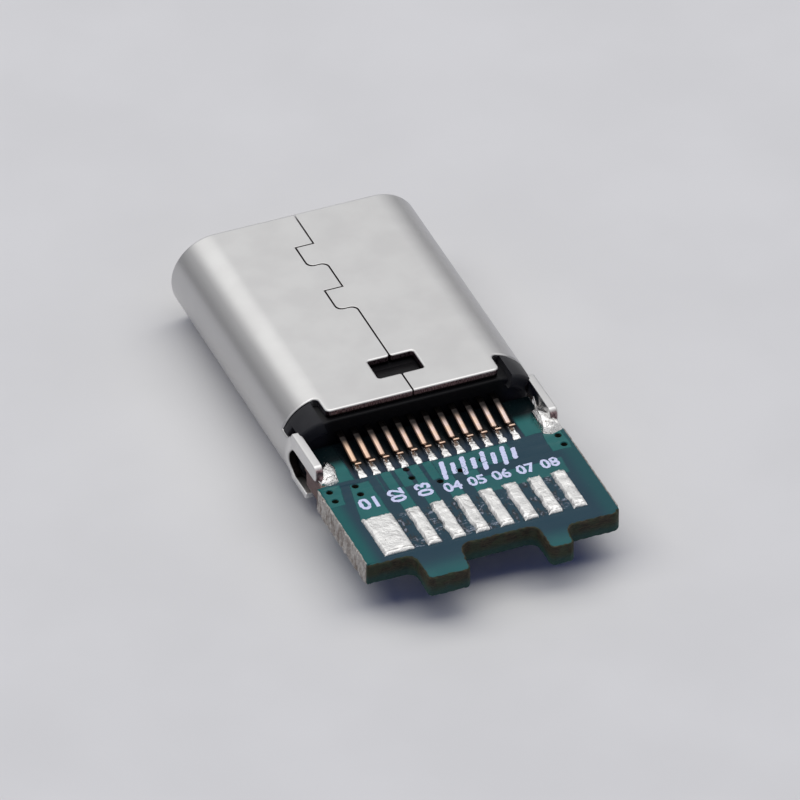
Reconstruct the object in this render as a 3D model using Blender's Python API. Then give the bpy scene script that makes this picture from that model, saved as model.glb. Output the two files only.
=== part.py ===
"""USB-C in-line socket clamped on a short circuit board.

Metres, +Z up, +Y out of the plug mouth. The shell lies on z = 0. Everything is placed
from the middle of the shell's rear lip, and one parent empty then moves the whole part
so that its origin is the middle of its footprint.
"""
import math

import bmesh
import bpy
from mathutils import Vector

# Shell: one blank of sheet, rolled into a stadium tube whose ends meet on top
SHELL_WIDTH = 0.00894
SHELL_HEIGHT = 0.00316
SHELL_LENGTH = 0.01060
SHELL_WALL = 0.00030
SEAM_GAP = 0.00005
STAMPED_ROUND = 0.00005
KEY_REACH = 0.00065
KEY_LENGTH = 0.00117
KEY_ROUND = 0.00024
KEY_FRONTS = (0.00621, 0.00882)
WINDOW_WIDTH = 0.00164
WINDOW_LENGTH = 0.00102
WINDOW_FROM_LIP = 0.00103
WINDOW_ROUND = 0.00009

# Rear corners of the shell: notches for the housing's lugs, then the forked arms
LIP_INSET = 0.00135
NOTCH_DEPTH = 0.00085
NOTCH_ROUND = 0.00020
RELIEF_HEIGHT = 0.00064
RELIEF_FROM_LIP = 0.00040
ARM_INSET = 0.00012
ARM_RISE = 0.00099
ARM_DROP = 0.00085
UPPER_PRONG_REACH = 0.00208
LOWER_PRONG_REACH = 0.00122
ARM_ROOT = 0.00003
ARM_ROUND = 0.00010
ARM_CHAMFER = 0.00016
FORK_RISE = 0.00035
FORK_DROP = 0.00062
FORK_FLARE = 0.00012
FORK_ROUND = 0.00044
FORK_FROM_LIP = 0.00017
ARM_BEND_START = 0.00036
ARM_BEND_END = -0.00004

# Housing: moulded insulator with the tongue, four lugs and the snap wedge
FIT_CLEARANCE = 0.00002
HOUSING_OVERHANG = 0.00015
HOUSING_DEPTH = 0.00440
LUG_OVERHANG = 0.00040
LUG_SLANT = 0.30
LUG_GROOVE = 0.00038
LUG_CLEARANCE = 0.00004
LUG_THICKNESS = 0.00052
LUG_ROUND = 0.00012
WEDGE_RISE = 0.00022
WEDGE_RAMP = 0.00075
TONGUE_SIDE_ROOM = 0.000825
TONGUE_THICKNESS = 0.00070
TONGUE_FROM_MOUTH = 0.00095
TONGUE_ROUND = 0.00040
TONGUE_CHAMFER = 0.00010
TONGUE_EMBEDDING = 0.00055
ROOT_THICKNESS = 0.00124
ROOT_LENGTH = 0.00115
LATCH_NOTCH_DEPTH = 0.00030
LATCH_NOTCH_LENGTH = 0.00100
LATCH_NOTCH_FROM_TIP = 0.00200

# Contacts: two mirrored rows of bent strip
CONTACT_COUNT = 12
CONTACT_PITCH = 0.00050
CONTACT_WIDTH = 0.00024
CONTACT_THICKNESS = 0.00010
CONTACT_CLEARANCE = 0.00001
CONTACT_BEND = 0.00010
CONTACT_FROM_TIP = 0.00100
LONG_CONTACT_EXTRA = 0.00050
LONG_CONTACTS = (0, 3, 8, 11)
TAIL_BELOW_ROOF = 0.00040
TAIL_STRAIGHT = 0.00042
TAIL_TOUCHDOWN = 0.00155
TAIL_END = 0.00195
TAIL_TIP_LIFT = 0.00018

# Steel plates inside the mouth
MID_PLATE_THICKNESS = 0.00012
MID_PLATE_FROM_TIP = 0.00055
MID_PLATE_ANCHOR = 0.00100
MID_PLATE_INSET = 0.00002
GROUND_PLATE_THICKNESS = 0.00012
GROUND_PLATE_SIDE_MARGIN = 0.00127
GROUND_FLANGE_CLEARANCE = 0.00006

# Board
BOARD_THICKNESS = 0.00080
BOARD_EDGE_INSET = 0.00006
BOARD_ARM_CLEARANCE = 0.00004
BOARD_FRONT = 0.00030
BOARD_SHOULDER = 0.00235
BOARD_SHOULDER_ROUND = 0.00020
BOARD_REAR_LEFT = 0.00682
BOARD_REAR_MIDDLE = 0.00688
BOARD_REAR_RIGHT = 0.00728
BOARD_TAB_REACH = 0.00820
BOARD_LEFT_ROUND = 0.00010
BOARD_RIGHT_ROUND = 0.00030
BOARD_RECESS_ROUND = 0.00012
TAB_TIP_ROUND = 0.00010
LEFT_TAB_FROM_SIDE = 0.00161
LEFT_TAB_WIDTH = 0.00168
LEFT_TAB_TAPER = 0.00019
RIGHT_TAB_FROM_SIDE = 0.00194
RIGHT_TAB_WIDTH = 0.00096
RIGHT_TAB_TAPER = 0.00011
HOLE_DIAMETER = 0.00026
HOLE_SIDES = 12
LEFT_HOLES_FROM_SIDE = ((0.00033, 0.00268), (0.00033, 0.00319), (0.00124, 0.00269), (0.00124, 0.00315))
RIGHT_HOLES_FROM_SIDE = ((0.00033, 0.00268), (0.00033, 0.00319))
MIDDLE_HOLES = ((-0.00127, 0.00248), (-0.00127, 0.00297), (-0.00047, 0.00349), (0.00037, 0.00320),
                (0.00124, 0.00295))

# Pads and solder
COPPER = 0.00004
TAIL_PAD_WIDTH = 0.00030
TAIL_PAD_FRONT = 0.00130
TAIL_PAD_REAR = 0.00237
WIRE_PAD_FRONT = 0.00451
WIRE_PAD_REAR = 0.00654
WIRE_PAD_WIDTH = 0.00048
WIRE_PAD_COUNT = 7
WIRE_PADS_FROM_RIGHT = 0.000912
WIDE_PAD_WIDTH = 0.00105
WIDE_PAD_FROM_LEFT = 0.00072
WIDE_PAD_GAP = 0.00048
TIN_CROWN = 0.00008
TIN_EDGE = 0.00006
TIN_SHOULDER = 0.00008
SEAT = 0.00001
SOLDER_LENGTH = 0.00132
SOLDER_OVERRUN = 0.00034
LOWER_SOLDER_LENGTH = 0.00200
LOWER_SOLDER_OVERRUN = 0.00160
SOLDER_WIDTH = 0.00074
SOLDER_HEIGHT = 0.00042
EDGE_TIN_THICKNESS = 0.00007
EDGE_TIN_RIM = 0.00004
EDGE_TIN_START = 0.00258
EDGE_TIN_END = 0.00005

# Fineness of curves
ROUND_STEPS = 5
BEND_STEPS = 24
ARM_BEND_STEPS = 5
LUG_STEPS = 6

# Worked out from the sizes above
END_RADIUS = SHELL_HEIGHT / 2
HALF_FLAT = SHELL_WIDTH / 2 - END_RADIUS
MID_HEIGHT = SHELL_HEIGHT / 2
SIDE_LINE = HALF_FLAT + END_RADIUS * math.pi / 2
SEAM_LINE = 2 * SIDE_LINE
ARM_FACE = SHELL_WIDTH / 2 - ARM_INSET
ROOF = SHELL_HEIGHT - SHELL_WALL
BOARD_TOP = MID_HEIGHT + BOARD_THICKNESS / 2
BOARD_HALF = SHELL_WIDTH / 2 - BOARD_EDGE_INSET
PAD_TOP = BOARD_TOP + COPPER
TONGUE_HALF = SHELL_WIDTH / 2 - SHELL_WALL - TONGUE_SIDE_ROOM
TONGUE_TIP = SHELL_LENGTH - TONGUE_FROM_MOUTH
LIP_Y = (BOARD_TAB_REACH - SHELL_LENGTH) / 2


# Building tools

def rounded(corners, closed=True, steps=ROUND_STEPS):
    """Points through (u, v, radius) corners, each corner turned into an arc of its radius."""
    points = []
    count = len(corners)
    for index, (u, v, radius) in enumerate(corners):
        here = Vector((u, v))
        at_end = not closed and index in (0, count - 1)
        if radius <= 0 or at_end:
            points.append(here)
            continue
        to_last = Vector(corners[index - 1][:2]) - here
        to_next = Vector(corners[(index + 1) % count][:2]) - here
        half_angle = to_last.angle(to_next) / 2
        run = min(radius / math.tan(half_angle), 0.48 * to_last.length, 0.48 * to_next.length)
        arc_radius = run * math.tan(half_angle)
        bisector = (to_last.normalized() + to_next.normalized()).normalized()
        centre = here + bisector * (arc_radius / math.sin(half_angle))
        first = here + to_last.normalized() * run - centre
        last = here + to_next.normalized() * run - centre
        sweep = first.angle_signed(last)
        start = math.atan2(first.y, first.x)
        for step in range(steps + 1):
            angle = start - sweep * step / steps
            points.append(centre + Vector((math.cos(angle), math.sin(angle))) * arc_radius)
    return points


PLANES = {
    "XY": lambda u, v, w: (u, v, w),
    "XZ": lambda u, v, w: (u, w, v),
    "YZ": lambda u, v, w: (w, u, v),
}


def add_prism(bm, outline, low, high, plane="XY"):
    """Closed prism on a flat outline, from low to high along the plane's third axis."""
    place = PLANES[plane]
    bottom = [bm.verts.new(place(u, v, low)) for u, v in outline]
    top = [bm.verts.new(place(u, v, high)) for u, v in outline]
    faces = [bm.faces.new(bottom), bm.faces.new(top)]
    for index in range(len(outline)):
        after = (index + 1) % len(outline)
        faces.append(bm.faces.new((bottom[index], bottom[after], top[after], top[index])))
    bmesh.ops.recalc_face_normals(bm, faces=faces)
    return faces


def add_box(bm, x_range, y_range, z_range):
    """Closed box between three pairs of values."""
    outline = [(x_range[0], y_range[0]), (x_range[1], y_range[0]),
               (x_range[1], y_range[1]), (x_range[0], y_range[1])]
    return add_prism(bm, outline, z_range[0], z_range[1])


def make_object(name, bm, material=None, smooth_angle=None):
    """Object of a finished bmesh, carried by the datum empty."""
    mesh = bpy.data.meshes.new(name)
    bm.to_mesh(mesh)
    bm.free()
    if material:
        mesh.materials.append(material)
    if smooth_angle:
        mesh.shade_smooth()
        mesh.set_sharp_from_angle(angle=math.radians(smooth_angle))
    obj = bpy.data.objects.new(name, mesh)
    bpy.context.scene.collection.objects.link(obj)
    obj.parent = DATUM
    return obj


def make_tool(name, bm):
    """Helper solid for a Boolean, kept out of the model."""
    tool = make_object(name, bm)
    tool.hide_render = True
    tool.display_type = 'WIRE'
    return tool


def combine(obj, tool, operation):
    """Boolean modifier on obj."""
    modifier = obj.modifiers.new(tool.name, 'BOOLEAN')
    modifier.operation = operation
    modifier.solver = 'EXACT'
    modifier.object = tool


def mirror_height(bm):
    """Turn an upper-row shape into its lower-row twin about the shell's mid plane."""
    for vert in bm.verts:
        vert.co.z = SHELL_HEIGHT - vert.co.z
    bmesh.ops.reverse_faces(bm, faces=bm.faces)


def make_material(name, color, roughness, metallic):
    material = bpy.data.materials.new(name)
    material.use_nodes = True
    shader = material.node_tree.nodes["Principled BSDF"]
    shader.inputs["Base Color"].default_value = (*color, 1.0)
    shader.inputs["Roughness"].default_value = roughness
    shader.inputs["Metallic"].default_value = metallic
    return material


# Shell

def section(s, depth):
    """Point (x, z) of the rolled section at blank coordinate s, depth below its outer skin.

    s is 0 at the middle of the underside and runs round the right-hand side when positive.
    """
    side = 1 if s >= 0 else -1
    run = abs(s)
    if run <= HALF_FLAT:
        return side * run, depth
    turn = (run - HALF_FLAT) / END_RADIUS
    if turn >= math.pi:
        past = run - HALF_FLAT - math.pi * END_RADIUS
        return side * (HALF_FLAT - past), SHELL_HEIGHT - depth
    radius = END_RADIUS - depth
    return side * (HALF_FLAT + radius * math.sin(turn)), MID_HEIGHT - radius * math.cos(turn)


def smooth_share(value):
    value = max(0.0, min(1.0, value))
    return value * value * (3 - 2 * value)


def rolled(s, y, depth):
    """Place of a blank point after rolling; behind the lip the side arms are pressed flat."""
    x, z = section(s, depth)
    above_mid = abs(s) - SIDE_LINE
    in_arm = -ARM_DROP - RELIEF_FROM_LIP < above_mid < ARM_RISE + RELIEF_FROM_LIP
    if in_arm:
        share = smooth_share((ARM_BEND_START - y) / (ARM_BEND_START - ARM_BEND_END))
        side = 1 if s >= 0 else -1
        x += share * (side * (ARM_FACE - depth) - x)
        z += share * (MID_HEIGHT + above_mid - z)
    return Vector((x, y, z))


def half_blank(seam_edge, key_edge, key_slack):
    """Corners (s, y, radius) of one half of the blank, from the underside's rear middle
    round the side and the arm to the seam and then forward to the mouth.

    seam_edge is the blank's edge along the seam and key_edge the edge across the keys.
    """
    lip_low = HALF_FLAT - LIP_INSET + END_RADIUS
    lip_high = SEAM_LINE - lip_low
    arm_low = SIDE_LINE - ARM_DROP
    arm_high = SIDE_LINE + ARM_RISE
    fork_low = SIDE_LINE - FORK_DROP
    fork_high = SIDE_LINE + FORK_RISE
    corners = [
        (0, 0, 0),
        (lip_low, 0, NOTCH_ROUND),
        (lip_low, NOTCH_DEPTH, NOTCH_ROUND),
        (SIDE_LINE - RELIEF_HEIGHT, NOTCH_DEPTH, 0),
        (SIDE_LINE - RELIEF_HEIGHT, RELIEF_FROM_LIP, STAMPED_ROUND),
        (arm_low, ARM_ROOT, ARM_ROUND),
        (arm_low, -LOWER_PRONG_REACH, STAMPED_ROUND),
        (fork_low, -LOWER_PRONG_REACH, STAMPED_ROUND),
        (fork_low, FORK_FROM_LIP, FORK_ROUND),
        (fork_high, FORK_FROM_LIP, FORK_ROUND),
        (fork_high + FORK_FLARE, -UPPER_PRONG_REACH, STAMPED_ROUND),
        (arm_high - ARM_CHAMFER, -UPPER_PRONG_REACH, STAMPED_ROUND),
        (arm_high, -UPPER_PRONG_REACH + ARM_CHAMFER, STAMPED_ROUND),
        (arm_high, ARM_ROOT, ARM_ROUND),
        (SIDE_LINE + RELIEF_HEIGHT, RELIEF_FROM_LIP, STAMPED_ROUND),
        (SIDE_LINE + RELIEF_HEIGHT, NOTCH_DEPTH, 0),
        (lip_high, NOTCH_DEPTH, NOTCH_ROUND),
        (lip_high, 0, NOTCH_ROUND),
        (seam_edge, 0, 0),
    ]
    window_edge = SEAM_LINE - WINDOW_WIDTH / 2
    window_front = WINDOW_FROM_LIP + WINDOW_LENGTH
    corners += [
        (seam_edge, WINDOW_FROM_LIP, WINDOW_ROUND),
        (window_edge, WINDOW_FROM_LIP, WINDOW_ROUND),
        (window_edge, window_front, WINDOW_ROUND),
        (seam_edge, window_front, WINDOW_ROUND),
    ]
    for front in KEY_FRONTS:
        corners += [
            (seam_edge, front - KEY_LENGTH - key_slack, KEY_ROUND),
            (key_edge, front - KEY_LENGTH - key_slack, KEY_ROUND),
            (key_edge, front + key_slack, 0),
            (seam_edge, front + key_slack, 0),
        ]
    corners.append((seam_edge, SHELL_LENGTH, 0))
    return corners


def cut_along(bm, faces, axis, value):
    """Cut the given faces by the plane where the axis takes the value; return all pieces."""
    normal = Vector((0, 0, 0))
    normal[axis] = 1
    verts = {vert for face in faces for vert in face.verts}
    edges = {edge for face in faces for edge in face.edges}
    result = bmesh.ops.bisect_plane(
        bm, geom=list(verts) + list(edges) + list(faces), dist=1e-9,
        plane_co=normal * value, plane_no=normal)
    return [item for item in result["geom"] if isinstance(item, bmesh.types.BMFace)]


def build_shell(material):
    """Blank cut to its outline, given its wall, creased along the bends, then rolled."""
    half_gap = SEAM_GAP / 2
    right = half_blank(SEAM_LINE - half_gap, SEAM_LINE + KEY_REACH - half_gap, -half_gap)
    left = half_blank(SEAM_LINE - half_gap, SEAM_LINE - KEY_REACH - half_gap, half_gap)
    mirrored = [(-s, y, radius) for s, y, radius in reversed(left[1:])]
    bm = bmesh.new()
    add_prism(bm, rounded(right + mirrored), 0, SHELL_WALL)

    faces = list(bm.faces)
    for side in (-1, 1):
        for step in range(BEND_STEPS + 1):
            run = HALF_FLAT + math.pi * END_RADIUS * step / BEND_STEPS
            faces = cut_along(bm, faces, 0, side * run)
    arm_limit = ARM_RISE + RELIEF_FROM_LIP
    near_arm = [face for face in bm.faces
                if abs(abs(face.calc_center_median().x) - SIDE_LINE) < arm_limit]
    for step in range(ARM_BEND_STEPS + 1):
        crease = ARM_BEND_END + (ARM_BEND_START - ARM_BEND_END) * step / ARM_BEND_STEPS
        near_arm = cut_along(bm, near_arm, 1, crease)
    bmesh.ops.triangulate(bm, faces=bm.faces)
    for vert in bm.verts:
        vert.co = rolled(*vert.co)
    return make_object("shell", bm, material, smooth_angle=35)


# Contacts

def contact_line(tip):
    """Corners (y, z, radius) along the middle of an upper contact, from tongue to tail end."""
    half = CONTACT_THICKNESS / 2
    on_tongue = MID_HEIGHT + TONGUE_THICKNESS / 2 - half
    at_exit = ROOF - TAIL_BELOW_ROOF - half
    at_pad = PAD_TOP + SEAT + half
    step_front = HOUSING_DEPTH - MID_PLATE_ANCHOR / 2
    step_rear = step_front - (at_exit - on_tongue)
    return [
        (tip, on_tongue, 0),
        (step_front, on_tongue, CONTACT_BEND),
        (step_rear, at_exit, CONTACT_BEND),
        (-TAIL_STRAIGHT, at_exit, CONTACT_BEND),
        (-TAIL_TOUCHDOWN, at_pad, CONTACT_BEND),
        (-TAIL_END, at_pad + TAIL_TIP_LIFT, 0),
    ]


def strip_outline(line, thickness, extend=0.0):
    """Outline of a bent strip of even thickness round a line of (u, v, radius) corners."""
    middle = rounded(line, closed=False, steps=3)
    if extend:
        middle[0] += (middle[0] - middle[1]).normalized() * extend
        middle[-1] += (middle[-1] - middle[-2]).normalized() * extend
    above, below = [], []
    for index, point in enumerate(middle):
        before = middle[max(index - 1, 0)]
        after = middle[min(index + 1, len(middle) - 1)]
        if 0 < index < len(middle) - 1:
            along = (point - before).normalized() + (after - point).normalized()
            along.normalize()
            widen = 1 / max(along.dot((after - point).normalized()), 0.5)
        else:
            along = (after - before).normalized()
            widen = 1
        across = Vector((-along.y, along.x)) * (thickness / 2 * widen)
        above.append(point + across)
        below.append(point - across)
    return above + below[::-1]


def contact_tip(index):
    """Front end of a contact: power and ground contacts reach further, so they mate first."""
    tip = TONGUE_TIP - CONTACT_FROM_TIP
    return tip + LONG_CONTACT_EXTRA if index in LONG_CONTACTS else tip


def contact_x(index):
    return (index - (CONTACT_COUNT - 1) / 2) * CONTACT_PITCH


def build_contacts(material):
    for index in range(CONTACT_COUNT):
        outline = strip_outline(contact_line(contact_tip(index)), CONTACT_THICKNESS)
        x = contact_x(index)
        for row in "ab":
            bm = bmesh.new()
            add_prism(bm, outline, x - CONTACT_WIDTH / 2, x + CONTACT_WIDTH / 2, "YZ")
            if row == "b":
                mirror_height(bm)
            make_object(f"contact_{row}{index + 1:02d}", bm, material)


# Housing

def stadium(half_width, half_height, steps=BEND_STEPS):
    """Stadium outline (x, z) centred on the shell's axis."""
    straight = half_width - half_height
    points = []
    for side in (1, -1):
        for step in range(steps + 1):
            angle = math.pi * step / steps - math.pi / 2
            points.append((side * (straight + half_height * math.cos(angle)),
                           MID_HEIGHT + side * half_height * math.sin(angle)))
    return points


def skin_block(s_range, y_range, depths):
    """Block under the shell's outer skin, between two blank coordinates and two depths."""
    first, last = s_range
    rim = [first + (last - first) * step / LUG_STEPS for step in range(LUG_STEPS + 1)]
    outline = [section(s, depths[0]) for s in rim] + [section(s, depths[1]) for s in reversed(rim)]
    bm = bmesh.new()
    rear_cap = add_prism(bm, outline, *y_range, "XZ")[0]
    bm.verts.index_update()
    return bm, rear_cap


def build_lugs(side):
    """An upper lug, which fills the shell's notch out to the skin, and its foot in the notch's corner.

    The lug goes down to the top of the arm, and its rear face slants forward towards the arm.
    """
    lip_high = SEAM_LINE - (HALF_FLAT - LIP_INSET + END_RADIUS)
    arm_top = SIDE_LINE + math.asin((ARM_RISE + LUG_CLEARANCE) / END_RADIUS) * END_RADIUS
    crest = lip_high - LUG_GROOVE
    notch_front = NOTCH_DEPTH - LUG_CLEARANCE
    lug, rear_cap = skin_block(
        (side * crest, side * arm_top), (-LUG_OVERHANG, notch_front), (0, LUG_THICKNESS))
    crest_x = section(crest, 0)[0]
    for vert in rear_cap.verts:
        vert.co.y += LUG_SLANT * (abs(vert.co.x) - crest_x)
    outer_rim = [edge for edge in rear_cap.edges
                 if all(vert.index <= LUG_STEPS for vert in edge.verts)]
    bmesh.ops.bevel(lug, geom=outer_rim, offset=LUG_ROUND, segments=2, profile=0.5, affect='EDGES')
    foot, _ = skin_block(
        (side * (crest + arm_top) / 2, side * (SIDE_LINE + RELIEF_HEIGHT + LUG_CLEARANCE)),
        (RELIEF_FROM_LIP + LUG_CLEARANCE, notch_front - FIT_CLEARANCE),
        (FIT_CLEARANCE, LUG_THICKNESS - FIT_CLEARANCE))
    return lug, foot


def build_housing(material):
    inner_half_width = SHELL_WIDTH / 2 - SHELL_WALL - FIT_CLEARANCE
    inner_half_height = MID_HEIGHT - SHELL_WALL - FIT_CLEARANCE
    tongue_low = MID_HEIGHT - TONGUE_THICKNESS / 2
    tongue_high = MID_HEIGHT + TONGUE_THICKNESS / 2
    embedded = HOUSING_DEPTH - TONGUE_EMBEDDING

    bm = bmesh.new()
    body = stadium(inner_half_width, inner_half_height)
    add_prism(bm, body, -HOUSING_OVERHANG, HOUSING_DEPTH, "XZ")
    housing = make_object("housing", bm, material, smooth_angle=35)

    bm = bmesh.new()
    half = TONGUE_HALF
    plan = rounded([(-half, embedded, 0), (half, embedded, 0),
                    (half, TONGUE_TIP, TONGUE_ROUND), (-half, TONGUE_TIP, TONGUE_ROUND)])
    add_prism(bm, plan, tongue_low, tongue_high)
    rim = [edge for edge in bm.edges
           if abs(edge.verts[0].co.z - edge.verts[1].co.z) < TONGUE_CHAMFER
           and max(vert.co.y for vert in edge.verts) > HOUSING_DEPTH]
    bmesh.ops.bevel(bm, geom=rim, offset=TONGUE_CHAMFER, segments=1, affect='EDGES')
    combine(housing, make_tool("tongue_form", bm), 'UNION')

    bm = bmesh.new()
    add_box(bm, (-half, half), (embedded - TONGUE_EMBEDDING, HOUSING_DEPTH + ROOT_LENGTH),
            (MID_HEIGHT - ROOT_THICKNESS / 2, MID_HEIGHT + ROOT_THICKNESS / 2))
    combine(housing, make_tool("root_form", bm), 'UNION')

    bm = bmesh.new()
    clear_half = ARM_FACE - SHELL_WALL - FIT_CLEARANCE
    for side in (-1, 1):
        flank = sorted((side * clear_half, side * SHELL_WIDTH))
        add_box(bm, flank, (-SHELL_LENGTH, ARM_BEND_START + FIT_CLEARANCE), (0, SHELL_HEIGHT))
    combine(housing, make_tool("arm_clearance", bm), 'DIFFERENCE')

    for side in (-1, 1):
        for lower in (False, True):
            for form in build_lugs(side):
                if lower:
                    mirror_height(form)
                combine(housing, make_tool("lug_form", form), 'UNION')

    bm = bmesh.new()
    wedge_half = WINDOW_WIDTH / 2 - WINDOW_ROUND
    wedge_rear = WINDOW_FROM_LIP + LUG_CLEARANCE
    wedge_front = wedge_rear + WEDGE_RAMP
    wedge_base = ROOF - FIT_CLEARANCE
    profile = [(wedge_rear, wedge_base - WEDGE_RISE), (wedge_front, wedge_base - WEDGE_RISE),
               (wedge_front, wedge_base), (wedge_rear, wedge_base + WEDGE_RISE)]
    add_prism(bm, profile, -wedge_half, wedge_half, "YZ")
    combine(housing, make_tool("wedge_form", bm), 'UNION')

    bm = bmesh.new()
    grown = CONTACT_THICKNESS + 2 * CONTACT_CLEARANCE
    half = CONTACT_WIDTH / 2 + CONTACT_CLEARANCE
    for index in range(CONTACT_COUNT):
        outline = strip_outline(contact_line(contact_tip(index)), grown, CONTACT_CLEARANCE)
        x = contact_x(index)
        add_prism(bm, outline, x - half, x + half, "YZ")
        lower = [(y, SHELL_HEIGHT - z) for y, z in outline]
        add_prism(bm, lower, x - half, x + half, "YZ")
    combine(housing, make_tool("contact_channels", bm), 'DIFFERENCE')

    bm = bmesh.new()
    half = TONGUE_HALF + MID_PLATE_INSET
    thick = MID_PLATE_THICKNESS / 2 + MID_PLATE_INSET
    slot_rear = HOUSING_DEPTH - MID_PLATE_ANCHOR - MID_PLATE_INSET
    slot_front = TONGUE_TIP - MID_PLATE_FROM_TIP + MID_PLATE_INSET
    add_box(bm, (-half, half), (slot_rear, slot_front), (MID_HEIGHT - thick, MID_HEIGHT + thick))
    combine(housing, make_tool("mid_plate_slot", bm), 'DIFFERENCE')

    bm = bmesh.new()
    for side in (-1, 1):
        inner = TONGUE_HALF - LATCH_NOTCH_DEPTH
        flank = sorted((side * inner, side * SHELL_WIDTH / 2))
        notch_front = TONGUE_TIP - LATCH_NOTCH_FROM_TIP
        notch_rear = notch_front - LATCH_NOTCH_LENGTH
        add_box(bm, flank, (notch_rear, notch_front), (0, SHELL_HEIGHT))
    combine(housing, make_tool("latch_notches", bm), 'DIFFERENCE')


def build_plates(material):
    """Mid plate inside the tongue, and the two bent ground plates on its root."""
    half = TONGUE_HALF - MID_PLATE_INSET
    inner = half - LATCH_NOTCH_DEPTH
    rear = HOUSING_DEPTH - MID_PLATE_ANCHOR
    front = TONGUE_TIP - MID_PLATE_FROM_TIP
    notch_front = TONGUE_TIP - LATCH_NOTCH_FROM_TIP
    notch_rear = notch_front - LATCH_NOTCH_LENGTH
    side = [(half, rear), (half, notch_rear), (inner, notch_rear), (inner, notch_front),
            (half, notch_front), (half, front)]
    outline = side + [(-x, y) for x, y in reversed(side)]
    half_plate = MID_PLATE_THICKNESS / 2
    bm = bmesh.new()
    add_prism(bm, outline, MID_HEIGHT - half_plate, MID_HEIGHT + half_plate)
    make_object("mid_plate", bm, material)

    half_sheet = GROUND_PLATE_THICKNESS / 2
    floor = MID_HEIGHT + ROOT_THICKNESS / 2 + SEAT + half_sheet
    wall = HOUSING_DEPTH + SEAT + half_sheet
    line = [(HOUSING_DEPTH + ROOT_LENGTH - SEAT, floor, 0), (wall, floor, GROUND_PLATE_THICKNESS),
            (wall, ROOF - GROUND_FLANGE_CLEARANCE, 0)]
    outline = strip_outline(line, GROUND_PLATE_THICKNESS)
    half = SHELL_WIDTH / 2 - GROUND_PLATE_SIDE_MARGIN
    for place in ("top", "bottom"):
        bm = bmesh.new()
        add_prism(bm, outline, -half, half, "YZ")
        if place == "bottom":
            mirror_height(bm)
        make_object(f"ground_plate_{place}", bm, material)


# Board

def board_outline():
    """Outline of the board, from its front between the arms round to the two rear tabs."""
    narrow = ARM_FACE - SHELL_WALL - BOARD_ARM_CLEARANCE
    left_tab = LEFT_TAB_FROM_SIDE - BOARD_HALF
    right_tab = BOARD_HALF - RIGHT_TAB_FROM_SIDE
    right = [
        (narrow, -BOARD_FRONT, 0),
        (narrow, -BOARD_SHOULDER, BOARD_SHOULDER_ROUND),
        (BOARD_HALF, -BOARD_SHOULDER, 0),
        (BOARD_HALF, -BOARD_REAR_RIGHT, BOARD_RIGHT_ROUND),
        (right_tab, -BOARD_REAR_RIGHT, BOARD_RECESS_ROUND),
        (right_tab - RIGHT_TAB_TAPER, -BOARD_TAB_REACH, TAB_TIP_ROUND),
        (right_tab - RIGHT_TAB_WIDTH, -BOARD_TAB_REACH, TAB_TIP_ROUND),
        (right_tab - RIGHT_TAB_WIDTH, -BOARD_REAR_MIDDLE, BOARD_RECESS_ROUND),
    ]
    left = [
        (left_tab + LEFT_TAB_WIDTH, -BOARD_REAR_MIDDLE, BOARD_RECESS_ROUND),
        (left_tab + LEFT_TAB_WIDTH - LEFT_TAB_TAPER, -BOARD_TAB_REACH, TAB_TIP_ROUND),
        (left_tab, -BOARD_TAB_REACH, TAB_TIP_ROUND),
        (left_tab, -BOARD_REAR_LEFT, BOARD_RECESS_ROUND),
        (-BOARD_HALF, -BOARD_REAR_LEFT, BOARD_LEFT_ROUND),
        (-BOARD_HALF, -BOARD_SHOULDER, 0),
        (-narrow, -BOARD_SHOULDER, BOARD_SHOULDER_ROUND),
        (-narrow, -BOARD_FRONT, 0),
    ]
    return rounded(right + left)


def build_board(material):
    bm = bmesh.new()
    add_prism(bm, board_outline(), MID_HEIGHT - BOARD_THICKNESS / 2, BOARD_TOP)
    board = make_object("board", bm, material)

    bm = bmesh.new()
    for index in range(CONTACT_COUNT):
        x = contact_x(index)
        for height in (BOARD_TOP, SHELL_HEIGHT - BOARD_TOP):
            add_box(bm, (x - TAIL_PAD_WIDTH / 2, x + TAIL_PAD_WIDTH / 2),
                    (-TAIL_PAD_REAR, -TAIL_PAD_FRONT), (height - COPPER, height + COPPER))
    combine(board, make_tool("tail_pads", bm), 'UNION')

    bm = bmesh.new()
    turns = [math.tau * step / HOLE_SIDES for step in range(HOLE_SIDES)]
    rim = [Vector((math.cos(turn), math.sin(turn))) * HOLE_DIAMETER / 2 for turn in turns]
    left_holes = [(inset - BOARD_HALF, behind) for inset, behind in LEFT_HOLES_FROM_SIDE]
    right_holes = [(BOARD_HALF - inset, behind) for inset, behind in RIGHT_HOLES_FROM_SIDE]
    for x, behind in (*left_holes, *right_holes, *MIDDLE_HOLES):
        add_prism(bm, [Vector((x, -behind)) + point for point in rim], 0, SHELL_HEIGHT)
    combine(board, make_tool("plated_holes", bm), 'DIFFERENCE')


def add_tinned_pad(bm, x_range, y_range, base):
    """Copper pad with a low crown of tin: straight foot, then a shoulder up to a smaller top."""
    rings = ((0, 0), (0, COPPER), (TIN_SHOULDER, COPPER + TIN_EDGE),
             (2 * TIN_SHOULDER, COPPER + TIN_CROWN))
    loops = []
    for inset, height in rings:
        x0, x1 = x_range[0] + inset, x_range[1] - inset
        y0, y1 = y_range[0] + inset, y_range[1] - inset
        corners = [(x, y, TIN_SHOULDER) for x, y in ((x0, y0), (x1, y0), (x1, y1), (x0, y1))]
        plan = rounded(corners, steps=2)
        loops.append([bm.verts.new((x, y, base + height)) for x, y in plan])
    bm.faces.new(loops[0][::-1])
    bm.faces.new(loops[-1])
    for lower, upper in zip(loops, loops[1:]):
        for index in range(len(lower)):
            after = (index + 1) % len(lower)
            bm.faces.new((lower[index], lower[after], upper[after], upper[index]))


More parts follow.
